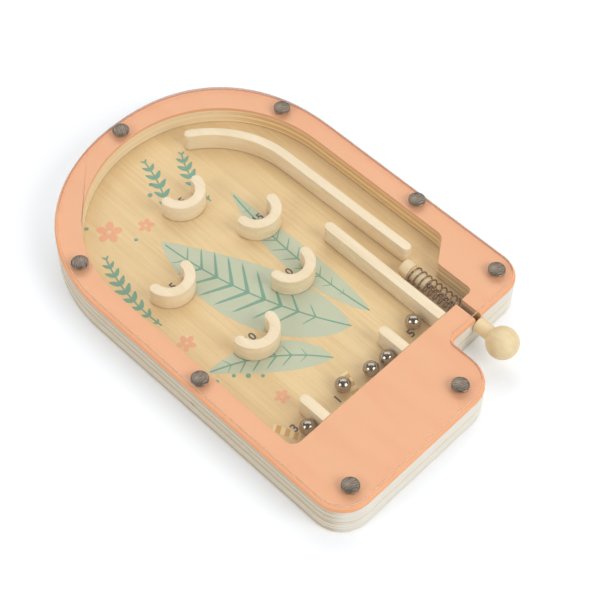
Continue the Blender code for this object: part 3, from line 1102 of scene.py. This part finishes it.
@dataclass
class Cover:
    """The clear sheet with its polished chamfer and milky edge."""

    chamfer: float = 0.3 * MM
    flat_limit: float = 0.9
    side_limit: float = 0.3

    def build(self) -> None:
        """Make the sheet and let it ride on the board."""
        clear = ClearAcrylic("acrylic_face")
        sheet = eased_copy("clear_cover", "clear_sheet", self.chamfer, clear)
        # painted light and reflection: the edge gets a bright and a shaded copy of its milky
        # finish
        for name, hue in (("bright", Hue.ACRYLIC_BRIGHT), ("shaded", Hue.ACRYLIC_SHADED)):
            sheet.data.materials.append(AcrylicEdge(f"acrylic_edge_{name}", hue).material())
        for face in sheet.data.polygons:
            across, along, upright = face.normal
            if abs(upright) > self.flat_limit:
                continue
            # painted light: faces towards the left and the player take the bright hue, the others
            # the shaded hue
            faces_left = across < -abs(along) and upright > -self.side_limit
            faces_player = along < -abs(across) and upright < self.side_limit
            face.material_index = 1 if faces_left or faces_player else 2
        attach(sheet, "board")
        log.info("cover: %d faces", len(sheet.data.polygons))


@dataclass
class Pins:
    """Eight pins with low domed heads, whose shanks hold the cover on the ring."""

    head_radius: float = 5.4 * MM
    head_height: float = 1.6 * MM
    rim_height: float = 0.6 * MM
    rim_ease: float = 0.12 * MM
    shank_radius: float = 2.0 * MM
    sides: int = 56
    dome_steps: int = 9
    count: int = 8

    def profile(self, depth: float) -> list[Point]:
        """Return radius and height of each ring, from the shank's end to the dome's top.

        Args:
            depth: How far the shank reaches below the head.

        Returns:
            The profile, with poles at both ends.
        """
        edge = self.head_radius
        rings = [(0, -depth), (self.shank_radius, -depth), (self.shank_radius, 0)]
        rings += [(edge - self.rim_ease, 0), (edge, self.rim_ease)]
        for i in range(self.dome_steps):
            a = math.pi / 2 * i / self.dome_steps
            rise = (self.head_height - self.rim_height) * math.sin(a)
            rings.append((edge * math.cos(a), self.rim_height + rise))
        return rings + [(0, self.head_height)]

    def build(self) -> None:
        """Make all pins as one piece and let it ride on the board."""
        nodes = [f"cover_pin_{i + 1}" for i in range(self.count)]
        low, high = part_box(nodes[0])
        head_bottom = high.z - self.head_height
        pin = turned("pin", self.profile(head_bottom - low.z), Vector(), self.sides)
        pin.transform(Matrix.Rotation(math.pi / 2, 4, "X"))
        places = [(*middle_of(node).xy, head_bottom) for node in nodes]
        scatter = Scatter(places, pin, BurnishedSteel("brushed_brown_steel"), math.pi)
        pins = new_object("cover_pins", scatter.mesh("cover_pins"))
        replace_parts(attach(pins, "board"), *nodes)
        log.info("pins: %d on the cover", len(nodes))


@dataclass
class Walls:
    """The bent launch rail, the lane wall and the two dividers."""

    ease: float = 0.45 * MM
    rail_width: float = 6.2 * MM
    rail_bend_radius: float = 67.3 * MM
    rail_bend_y: float = 54.5 * MM
    rail_bend_degrees: float = 57.7
    rail_lean: float = 1.0 * MM
    rail_steps: int = 40
    lane_width: float = 6.7 * MM
    divider_width: float = 6.6 * MM
    finish: Finish = SolidWood("planed_birch")

    def bar(self, node: str, name: str, path: Outline, width: float, square: bool) -> None:
        """Make one wall with eased edges.

        Args:
            node: The CAD node that it stands for, which gives its height.
            name: The piece's name.
            path: Its middle line.
            width: Its width.
            square: Whether its first end is square.
        """
        low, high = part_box(node)
        mesh = eased_bar(name, path, width, square, (low.z, high.z), self.ease)
        made = new_object(name, mesh, self.finish)
        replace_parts(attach(made, "board"), node)

    def rail_path(self) -> Outline:
        """Return the rail's middle line, from its lower end to the end of its bend."""
        low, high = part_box("launch_rail")
        x = high.x - self.rail_width / 2
        centre = (x - self.rail_lean - self.rail_bend_radius, self.rail_bend_y)
        end = math.radians(self.rail_bend_degrees)
        bend = arc(centre, self.rail_bend_radius, 0, end, self.rail_steps)
        return [(x, low.y + self.rail_width / 2)] + bend

    def build(self) -> None:
        """Make the walls and let them ride on the board."""
        self.bar("launch_rail", "rail_bar", self.rail_path(), self.rail_width, False)
        low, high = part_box("lane_wall")
        half = self.lane_width / 2
        path = [(low.x + half, low.y), (high.x - half, high.y - half)]
        self.bar("lane_wall", "lane_bar", path, self.lane_width, True)
        half = self.divider_width / 2
        for side in ("left", "right"):
            low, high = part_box(f"divider_{side}")
            path = [(low.x + half, low.y), (low.x + half, high.y - half)]
            self.bar(f"divider_{side}", f"divider_bar_{side}", path, self.divider_width, True)
        log.info("walls: rail, lane wall and two dividers")


@dataclass
class Cups:
    """Five crescent cups that catch the balls."""

    outer_radius: float = 15.8 * MM
    inner_radius: float = 9.1 * MM
    open_degrees: float = 190.0
    ease: float = 0.5 * MM
    steps: int = 44
    nodes: tuple[str, ...] = ("cup_top", "cup_left", "cup_right", "cup_middle", "cup_low")

    def build(self) -> None:
        """Make all cups as one piece and let it ride on the board."""
        places = []
        for node in self.nodes:
            low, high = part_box(node)
            places.append((middle_of(node).x, low.y + self.outer_radius, low.z))
        width = self.outer_radius - self.inner_radius
        half = math.radians(self.open_degrees) / 2
        start, end = math.pi / 2 + half, math.pi * 5 / 2 - half
        path = arc((0, 0), self.inner_radius + width / 2, start, end, self.steps)
        cup = eased_bar("cup", path, width, False, (0, high.z - low.z), self.ease)
        scatter = Scatter(places, cup, SolidWood("planed_birch"))
        cups = new_object("catch_cups", scatter.mesh("catch_cups"))
        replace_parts(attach(cups, "board"), *self.nodes)
        log.info("cups: %d on the playfield", len(places))


@dataclass
class Balls:
    """Five polished balls, each on a body of its own."""

    radius: float = 5.0 * MM
    sides: int = 64
    rings: int = 32
    count: int = 5

    def build(self) -> None:
        """Make the balls and let each ride on its body."""
        angles = [math.pi * i / self.rings for i in range(1, self.rings)]
        rings = [(self.radius * math.sin(a), -self.radius * math.cos(a)) for a in angles]
        profile = [(0, -self.radius), *rings, (0, self.radius)]
        for i in range(self.count):
            node = f"ball_{i + 1}"
            mesh = turned(f"steel_{node}", profile, middle_of(node), self.sides)
            ball = new_object(f"steel_{node}", mesh, Steel("ball_steel"))
            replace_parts(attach(ball, node), node)
        log.info("balls: %d", self.count)


@dataclass
class Plunger:
    """Knob, rod and head, which slide together."""

    knob_radius: float = 10.2 * MM
    neck_radius: float = 4.75 * MM
    neck_start_radius: float = 5.0 * MM
    neck_fillet: float = 0.6 * MM
    edge_ease: float = 0.3 * MM
    bore_radius: float = 1.9 * MM
    rod_radius: float = 1.6 * MM
    head_radius: float = 5.7 * MM
    head_length: float = 6.7 * MM
    head_round: float = 1.0 * MM
    spigot_radius: float = 4.14 * MM
    bore_depth: float = 12.0 * MM
    sides: int = 72
    ball_steps: int = 30
    round_steps: int = 8

    def knob_profile(self) -> list[Point]:
        """Return the knob with its neck, from the bore's end to the ball's far pole."""
        low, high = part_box("pull_knob")
        centre, face = low.y + self.knob_radius, high.y
        bore_end = face - self.bore_depth
        profile = [(0, bore_end), (self.bore_radius, bore_end), (self.bore_radius, face)]
        profile += [(self.neck_start_radius - self.edge_ease, face),
                    (self.neck_start_radius, face - self.edge_ease)]
        join = math.asin((self.neck_radius + self.neck_fillet) / self.knob_radius)
        foot = centre + self.knob_radius * math.cos(join)
        profile += [(self.neck_radius, foot + 2 * self.neck_fillet),
                    (self.neck_radius + self.neck_fillet / 4, foot + self.neck_fillet / 2)]
        for i in range(self.ball_steps):
            a = join + (math.pi - join) * i / self.ball_steps
            radius, along = self.knob_radius * math.sin(a), self.knob_radius * math.cos(a)
            profile.append((radius, centre + along))
        return profile + [(0, centre - self.knob_radius)]

    def head_profile(self) -> list[Point]:
        """Return the head with its spigot, from the bore's end to the striking face."""
        low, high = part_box("plunger_head")
        start, end = low.y, high.y
        shoulder = end - self.head_length
        bore_end = start + self.bore_depth
        ease = self.edge_ease
        profile = [(0, bore_end), (self.bore_radius, bore_end), (self.bore_radius, start)]
        profile += [(self.spigot_radius - ease, start), (self.spigot_radius, start + ease)]
        profile += [(self.spigot_radius, shoulder), (self.head_radius - ease, shoulder)]
        profile.append((self.head_radius, shoulder + ease))
        for i in range(self.round_steps + 1):
            a = math.pi / 2 * i / self.round_steps
            radius = self.head_radius - self.head_round * (1 - math.cos(a))
            profile.append((radius, end - self.head_round * (1 - math.sin(a))))
        return profile + [(0, end)]

    def build(self) -> None:
        """Make the three pieces and let them ride on the plunger."""
        axis = middle_of("plunger_rod")
        axis.y = 0
        low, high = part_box("plunger_rod")
        rod = [(0, low.y), (self.rod_radius, low.y), (self.rod_radius, high.y), (0, high.y)]
        beech = TurnedBeech("beech_along_axis")
        rows = (
            ("pull_knob", "beech_knob", self.knob_profile(), beech, "turned_beech"),
            ("plunger_head", "beech_head", self.head_profile(), beech, "turned_beech"),
            ("plunger_rod", "steel_rod", rod, WIRE_FINISH, "polished_steel"),
        )
        for node, name, profile, finish, slot in rows:
            made = new_object(name, turned(name, profile, axis, self.sides), finish)
            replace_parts(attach(made, "plunger"), node)
        log.info("plunger: knob, rod and head")


@dataclass
class Spring:
    """The open coil of wire between the front band and the head's shoulder."""

    diameter: float = 11.4 * MM
    wire: float = 1.0 * MM
    open_turns: float = 8.0
    front_closed_turns: float = 1.5
    head_closed_turns: float = 0.5
    closed_step: float = 1.5 * MM
    points_per_turn: int = 36
    wire_sides: int = 12
    travel: float = 23.5 * MM
    free_length: float = 37.3 * MM
    fit_gap: float = 0.3 * MM

    def build(self) -> None:
        """Make the coil and let it ride on the board."""
        low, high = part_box("plunger_spring")
        axis = middle_of("plunger_rod")
        turns = self.front_closed_turns + self.open_turns + self.head_closed_turns
        start, end = low.y + self.wire / 2, high.y - self.wire / 2
        closed = self.closed_step * (self.front_closed_turns + self.head_closed_turns)
        open_step = (end - start - closed) / self.open_turns - self.closed_step

        modifier = Modifier("spring_coil")
        tree = modifier.tree
        per_turn = modifier.take("Points per Turn", "NodeSocketFloat", float(self.points_per_turn))
        radius = modifier.take("Radius", "NodeSocketFloat", (self.diameter - self.wire) / 2)
        wire = modifier.take("Wire Radius", "NodeSocketFloat", self.wire / 2)
        first = modifier.take("Front Closed Turns", "NodeSocketFloat", self.front_closed_turns)
        most = modifier.take("Open Turns", "NodeSocketFloat", self.open_turns)
        each = modifier.take("Closed Step", "NodeSocketFloat", self.closed_step)
        extra = modifier.take("Extra Open Step", "NodeSocketFloat", open_step)

        index = add(tree, "GeometryNodeInputIndex")
        turn = add(tree, "ShaderNodeMath", {"operation": "DIVIDE", 0: index, 1: per_turn})
        opened = add(tree, "ShaderNodeMath", {"operation": "SUBTRACT", 0: turn, 1: first})
        opened = add(tree, "ShaderNodeMath", {"operation": "MAXIMUM", 0: opened, 1: 0.0})
        opened = add(tree, "ShaderNodeMath", {"operation": "MINIMUM", 0: opened, 1: most})
        close = add(tree, "ShaderNodeMath", {"operation": "MULTIPLY", 0: turn, 1: each})
        wide = add(tree, "ShaderNodeMath", {"operation": "MULTIPLY", 0: opened, 1: extra})
        along = add(tree, "ShaderNodeMath", {"operation": "ADD", 0: close, 1: wide})
        angle = add(tree, "ShaderNodeMath", {"operation": "MULTIPLY", 0: turn, 1: 2 * math.pi})
        place = {"Y": along}
        for axis_name, operation in (("X", "COSINE"), ("Z", "SINE")):
            wave = add(tree, "ShaderNodeMath", {"operation": operation, 0: angle})
            settings = {"operation": "MULTIPLY", 0: wave, 1: radius}
            place[axis_name] = add(tree, "ShaderNodeMath", settings)
        settings = {"Geometry": modifier.start}
        settings["Position"] = add(tree, "ShaderNodeCombineXYZ", place)
        wound = add(tree, "GeometryNodeSetPosition", settings)
        line = add(tree, "GeometryNodeMeshToCurve", {"Mesh": wound})
        settings = {"Resolution": self.wire_sides, "Radius": wire}
        circle = add(tree, "GeometryNodeCurvePrimitiveCircle", settings)
        settings = {"Curve": line, "Profile Curve": circle, "Fill Caps": True}
        modifier.end(add(tree, "GeometryNodeCurveToMesh", settings), WIRE_FINISH)

        count = round(turns * self.points_per_turn) + 1
        chain = bpy.data.meshes.new("coil_points")
        chain.from_pydata([(0, 0, 0)] * count, [(i, i + 1) for i in range(count - 1)], [])
        mesh = modifier.run("coil_spring", chain)
        mesh.transform(Matrix.Translation((axis.x, start, axis.z)))
        mesh.shade_smooth()
        coil = new_object("coil_spring", mesh)
        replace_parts(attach(coil, "board"), "plunger_spring")
        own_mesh(coil)
        log.info("spring: %.1f turns, %d faces", turns, len(mesh.polygons))


# ---------------------------------------------------------------- print on the playfield


def plates(name: str, outlines: list[Outline], low: float, high: float) -> Mesh:
    """Return thin closed plates, one for each outline.

    Args:
        name: The mesh's name.
        outlines: The plates' outlines.
        low: Height of their lower faces.
        high: Height of their upper faces.

    Returns:
        One mesh with all plates.
    """
    work = bmesh.new()
    for outline in outlines:
        add_loft(work, [(low, outline), (high, outline)])
    return closed_mesh(name, work)


@dataclass(frozen=True)
class Leaf:
    """A large printed leaf about a curved midrib, in millimetres from the board's middle."""

    base: Point
    tip: Point
    width: float
    bend: float
    ribs: int = 9
    steps: int = 36
    belly: float = 0.82         # under 1 moves the widest place towards the tip
    roundness: float = 0.8

    def point(self, share: float) -> Vector:
        """Return the midrib's point at a share of its length."""
        base, tip = Vector(self.base), Vector(self.tip)
        across = Vector((base.y - tip.y, tip.x - base.x)).normalized()
        pull = (base + tip) / 2 + across * self.bend * 2
        return base * (1 - share) ** 2 + pull * 2 * share * (1 - share) + tip * share ** 2

    def midrib(self, end: float = 1.0) -> Outline:
        """Return the midrib's points from its base to a share of its length, in metres."""
        return [(self.point(end * i / self.steps) * MM)[:] for i in range(self.steps + 1)]

    def outline(self) -> Outline:
        """Return the leaf's outline, in metres."""
        right, left = [], []
        for i in range(self.steps + 1):
            share = i / self.steps
            along = self.point(min(share + 0.01, 1)) - self.point(max(share - 0.01, 0))
            side = Vector((along.y, -along.x)).normalized()
            inside = 0 < i < self.steps
            swell = math.sin(math.pi * share ** self.belly) ** self.roundness if inside else 0
            half = self.width / 2 * swell
            right.append(((self.point(share) + side * half) * MM)[:])
            left.append(((self.point(share) - side * half) * MM)[:])
        return right + left[-2:0:-1]


@dataclass
class Print:
    """A generic design of leaves, blossoms and berries, with plain numbers at the pockets.

    Heights and line sizes are in metres; places are in millimetres from the board's middle,
    and so are the sizes of blossoms, berries and strips. Turns are in degrees.
    """

    low: float = 12.44 * MM
    mint_top: float = 12.54 * MM
    teal_top: float = 12.57 * MM
    top: float = 12.60 * MM
    leaves: tuple[Leaf, ...] = (
        Leaf((4, -58), (-34, 68), 44, 8, 11),
        Leaf((20, -58), (24, 66), 19, 5, 12),
        Leaf((-20, -66), (-80, -22), 22, -6, 8),
    )
    stems: tuple[Leaf, ...] = (
        Leaf((-18, 78), (2, 124), 1, -3, 7),
        Leaf((-76, 22), (-66, 84), 1, 4, 9),
        Leaf((10, 70), (24, 112), 1, 3, 7),
    )
    blossoms: tuple[Triple, ...] = (
        (-52, 96, 8.5), (-74, 2, 6.0), (-60, -64, 5.0), (-32, 84, 5.5)
    )
    berries: tuple[Triple, ...] = (
        (-64, -40, 1.6), (-58, -46, 1.2), (-70, -34, 1.2), (-14, 100, 1.6), (-8, 106, 1.2),
        (-44, 80, 1.2), (-60, 108, 1.3), (-2, 70, 1.4), (4, 78, 1.1), (-80, -30, 1.4),
    )
    marks: tuple[tuple[str, float, float], ...] = (
        ("10", 4.2, -4.2), ("15", 21.4, 38.6), ("10", -45.0, -22.2), ("5", -51.8, 37.6),
        ("5", -2.6, 82.2), ("1", -38.6, -88.3), ("5", 25.4, -87.4), ("3", -70.0, -84.0),
    )
    mark_size: float = 7.6 * MM
    mark_boldness: float = 0.16 * MM
    mark_merge: float = 0.001 * MM
    mark_steps: int = 4
    strips: tuple[Triple, ...] = ((-75.0, -83.0, 22.0), (-25.8, -86.5, -18.0))
    strip_half_mm: float = 2.4
    strip_span_mm: Point = (-8.5, 8.5)
    band_spans_mm: tuple[Point, ...] = ((-7.2, -4.6), (-2.0, 0.8), (3.6, 6.6))
    slant_mm: float = 0.8
    petals: int = 5
    petal_out: float = 0.58
    petal_size: Point = (0.42, 0.30)
    rib_shape: tuple[Point, ...] = (
        (0, -0.055), (0.8, -0.03), (1, 0), (0.8, 0.03), (0, 0.055)
    )
    rib_reach: float = 0.52
    blade_length: float = 8 * MM
    blade_half_width: float = 0.2
    blade_taper: float = 0.4
    blade_points: int = 20
    oval_points: int = 24
    line_width: float = 1.0 * MM
    line_end: float = 0.97

    def blossom(self, x: float, y: float, radius: float) -> list[Outline]:
        """Return a blossom's petals as oval outlines."""
        made = []
        long, wide = (share * radius for share in self.petal_size)
        for i in range(self.petals):
            a = 2 * math.pi * i / self.petals + x
            turn = Matrix.Rotation(a, 2)
            centre = Vector((x, y)) + turn @ Vector((radius * self.petal_out, 0))
            turns = (2 * math.pi * k / self.oval_points for k in range(self.oval_points))
            oval = [(long * math.cos(t), wide * math.sin(t)) for t in turns]
            made.append([((centre + turn @ Vector(p)) * MM)[:] for p in oval])
        return made

    def blade(self) -> Outline:
        """Return a sprig's leaf of length one, widest near its base."""
        made = []
        for i in range(self.blade_points):
            a = 2 * math.pi * i / self.blade_points
            half = self.blade_half_width * math.sin(a) * (1 + self.blade_taper * math.cos(a))
            made.append((0.5 - 0.5 * math.cos(a), half))
        return made

    def number(self, text: str, x: float, y: float) -> Mesh:
        """Return one number as a thin closed mesh, upright for the player."""
        curve = bpy.data.curves.new("number", "FONT")
        curve.body, curve.size = text, self.mark_size
        curve.align_x, curve.align_y = "CENTER", "CENTER"
        curve.extrude, curve.offset = (self.top - self.low) / 2, self.mark_boldness
        curve.resolution_u = self.mark_steps
        carrier = bpy.data.objects.new("number", curve)
        bpy.context.scene.collection.objects.link(carrier)
        mesh = evaluated_mesh(carrier)
        mesh.transform(Matrix.Translation((x * MM, y * MM, (self.top + self.low) / 2)))
        bpy.data.objects.remove(carrier)
        return mesh

    def numbers(self) -> Mesh:
        """Return all numbers as one mesh."""
        work = bmesh.new()
        for text, x, y in self.marks:
            work.from_mesh(self.number(text, x, y))
        bmesh.ops.remove_doubles(work, verts=work.verts, dist=self.mark_merge)
        return closed_mesh("numbers", work)

    def strip_parts(self) -> tuple[list[Outline], list[Outline]]:
        """Return the outlines of the banded strips and of the bands on them."""
        grounds, bands = [], []
        half = self.strip_half_mm
        for x, y, degrees in self.strips:
            turn = Matrix.Rotation(math.radians(degrees), 2)
            spans = [(grounds, self.strip_span_mm)]
            spans += [(bands, span) for span in self.band_spans_mm]
            for group, (low, high) in spans:
                rise = self.slant_mm
                corners = [(-half, low), (half, low + rise), (half, high + rise), (-half, high)]
                group.append([((Vector((x, y)) + turn @ Vector(c)) * MM)[:] for c in corners])
        return grounds, bands

    def place(self, name: str, mesh: Mesh, *finishes: Finish) -> None:
        """Put one colour of the print on the board."""
        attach(new_object(name, mesh, *finishes), "board")

    def build(self) -> None:
        """Make the print, one piece for each colour and row of leaves."""
        mint = PrintedInk("mint_ink")
        teal = PrintedInk("teal_ink", hue=Hue.TEAL, grain_shows=0.10)
        coral = PrintedInk("coral_ink", hue=Hue.CORAL_INK, grain_shows=0.25)
        slate = PrintedInk("slate_ink", hue=Hue.SLATE, grain_shows=0.10)
        amber = PrintedInk("amber_ink", hue=Hue.AMBER, grain_shows=0.20)
        pale = PrintedInk("pale_amber_ink", hue=Hue.AMBER_PALE, grain_shows=0.20)
        grounds = [leaf.outline() for leaf in self.leaves]
        self.place("print_leaves", plates("leaves", grounds, self.low, self.mint_top), mint)
        thickness = self.teal_top - self.low
        for i, leaf in enumerate(self.leaves):
            piece = plates("rib", [self.rib_shape], 0, thickness)
            reach = leaf.width * MM * self.rib_reach
            row = AlongPath(leaf.midrib(), piece, teal, self.low, leaf.ribs,
                            spread_degrees=52, longest=reach, trim=0.08)
            self.place(f"print_ribs_{i + 1}", row.mesh(f"ribs_{i + 1}"))
        for i, stem in enumerate(self.stems):
            piece = plates("blade", [self.blade()], 0, thickness)
            row = AlongPath(stem.midrib(), piece, teal, self.low, stem.ribs,
                            spread_degrees=42, longest=self.blade_length, swell=0.6, trim=0.04)
            self.place(f"print_sprig_{i + 1}", row.mesh(f"sprig_{i + 1}"))
        lines = [bar_outline(part.midrib(self.line_end), self.line_width, False, 0)
                 for part in self.leaves + self.stems]
        petals = [p for flower in self.blossoms for p in self.blossom(*flower)]
        last = self.oval_points - 1
        turn = 2 * math.pi * last / self.oval_points
        dots = [arc((x * MM, y * MM), r * MM, 0, turn, last) for x, y, r in self.berries]
        grounds, bands = self.strip_parts()
        rows = (
            ("midribs", lines, self.top, teal),
            ("blossoms", petals, self.teal_top, coral),
            ("berries", dots, self.teal_top, teal),
            ("strips", grounds, self.mint_top, pale),
            ("bands", bands, self.teal_top, amber),
        )
        for name, outlines, top, ink in rows:
            self.place(f"print_{name}", plates(name, outlines, self.low, top), ink)
        self.place("print_numbers", self.numbers(), slate)
        counts = len(self.leaves), len(self.stems), len(self.marks)
        log.info("print: %d leaves, %d sprigs, %d numbers", *counts)


# ---------------------------------------------------------------- studio


@dataclass
class Lamp:
    """One soft box, aimed at the board: a disc, or a panel if it has a height."""

    name: str
    towards: Triple
    distance: float
    size: float
    power: float
    height: float = 0.0

    def build(self) -> None:
        """Hang the lamp and turn it to the board."""
        light = bpy.data.lights.new(self.name, "AREA")
        light.shape = "RECTANGLE" if self.height else "DISK"
        light.size, light.size_y, light.energy = self.size, self.height or self.size, self.power
        lamp = bpy.data.objects.new(self.name, light)
        away = Vector(self.towards).normalized()
        lamp.location = away * self.distance
        lamp.rotation_euler = away.to_track_quat("Z", "Y").to_euler()
        bpy.context.scene.collection.objects.link(lamp)


@dataclass
class Studio:
    """Floor, light and camera."""

    floor_size: float = 8.0
    floor_level: float = -0.2 * MM
    room: float = 0.38
    dim: float = 0.10
    backdrop_degrees: Point = (16.0, 26.0)
    lens: float = 93.90
    sensor: float = 36.0
    camera_place: Triple = (-0.3960645, -0.3935183, 0.7899518)
    camera_right: Triple = (0.70151694, -0.71250554, 0.01448599)
    camera_up: Triple = (0.57991589, 0.58255072, 0.56950174)
    lamps: tuple[Lamp, ...] = (
        Lamp("key", (0.1475, -0.7627, 0.630), 2.6, 1.7, 30.0),
        Lamp("fill", (-0.773, 0.172, 0.611), 2.6, 1.25, 13.5),
        Lamp("ceiling", (0.42, 0.40, 0.815), 3.0, 4.4, 39.5, 2.2),
    )

    def build(self) -> None:
        """Make the floor, the room's light, the lamps and the camera."""
        half = self.floor_size / 2
        corners = [(-half, -half), (half, -half), (half, half), (-half, half)]
        mesh = bpy.data.meshes.new("floor")
        mesh.from_pydata([(x, y, self.floor_level) for x, y in corners], [], [(0, 1, 2, 3)])
        new_object("floor", mesh, StudioFloor("studio_floor"))
        for lamp in self.lamps:
            lamp.build()
        self.build_room()
        self.build_camera()
        log.info("studio: floor, %d lamps and the camera", len(self.lamps))

    def build_room(self) -> None:
        """Make the room: even light, a white backdrop all round and a dim ceiling over it."""
        world = bpy.data.worlds.new("room")
        bpy.context.scene.world = world
        world.use_nodes = True
        tree = world.node_tree
        tree.nodes.clear()
        towards = add(tree, "ShaderNodeTexCoord", output="Generated")
        rise = add(tree, "ShaderNodeSeparateXYZ", {"Vector": towards}, "Z")
        above = step(*(math.sin(math.radians(angle)) for angle in self.backdrop_degrees))
        span = {"Value": rise, **above, "To Min": 1.0, "To Max": self.dim}
        level = add(tree, "ShaderNodeMapRange", span)
        shown, even = (
            add(tree, "ShaderNodeBackground", {"Color": WHITE, "Strength": strength})
            for strength in (level, self.room)
        )
        mix = add(tree, "ShaderNodeMixShader", {0: seen(tree), 1: even, 2: shown})
        add(tree, "ShaderNodeOutputWorld", {"Surface": mix})

    def build_camera(self) -> None:
        """Set the camera where the photograph was taken from."""
        right, up = Vector(self.camera_right), Vector(self.camera_up)
        turn = Matrix((right, up, right.cross(up))).transposed().to_4x4()
        data = bpy.data.cameras.new("camera")
        data.lens, data.sensor_width = self.lens, self.sensor
        camera = bpy.data.objects.new("camera", data)
        camera.matrix_world = Matrix.Translation(self.camera_place) @ turn
        bpy.context.scene.collection.objects.link(camera)
        bpy.context.scene.camera = camera


def main() -> None:
    """Build every piece in order, then the studio."""
    logging.basicConfig(level=logging.INFO, format="%(message)s")
    for part in (Shell(), Print(), Walls(), Cups(), Balls(), Plunger(), Spring(), Pins(), Cover()):
        part.build()
    Studio().build()
    bpy.context.scene.view_settings.view_transform = "Standard"


if __name__ == "__main__":
    main()
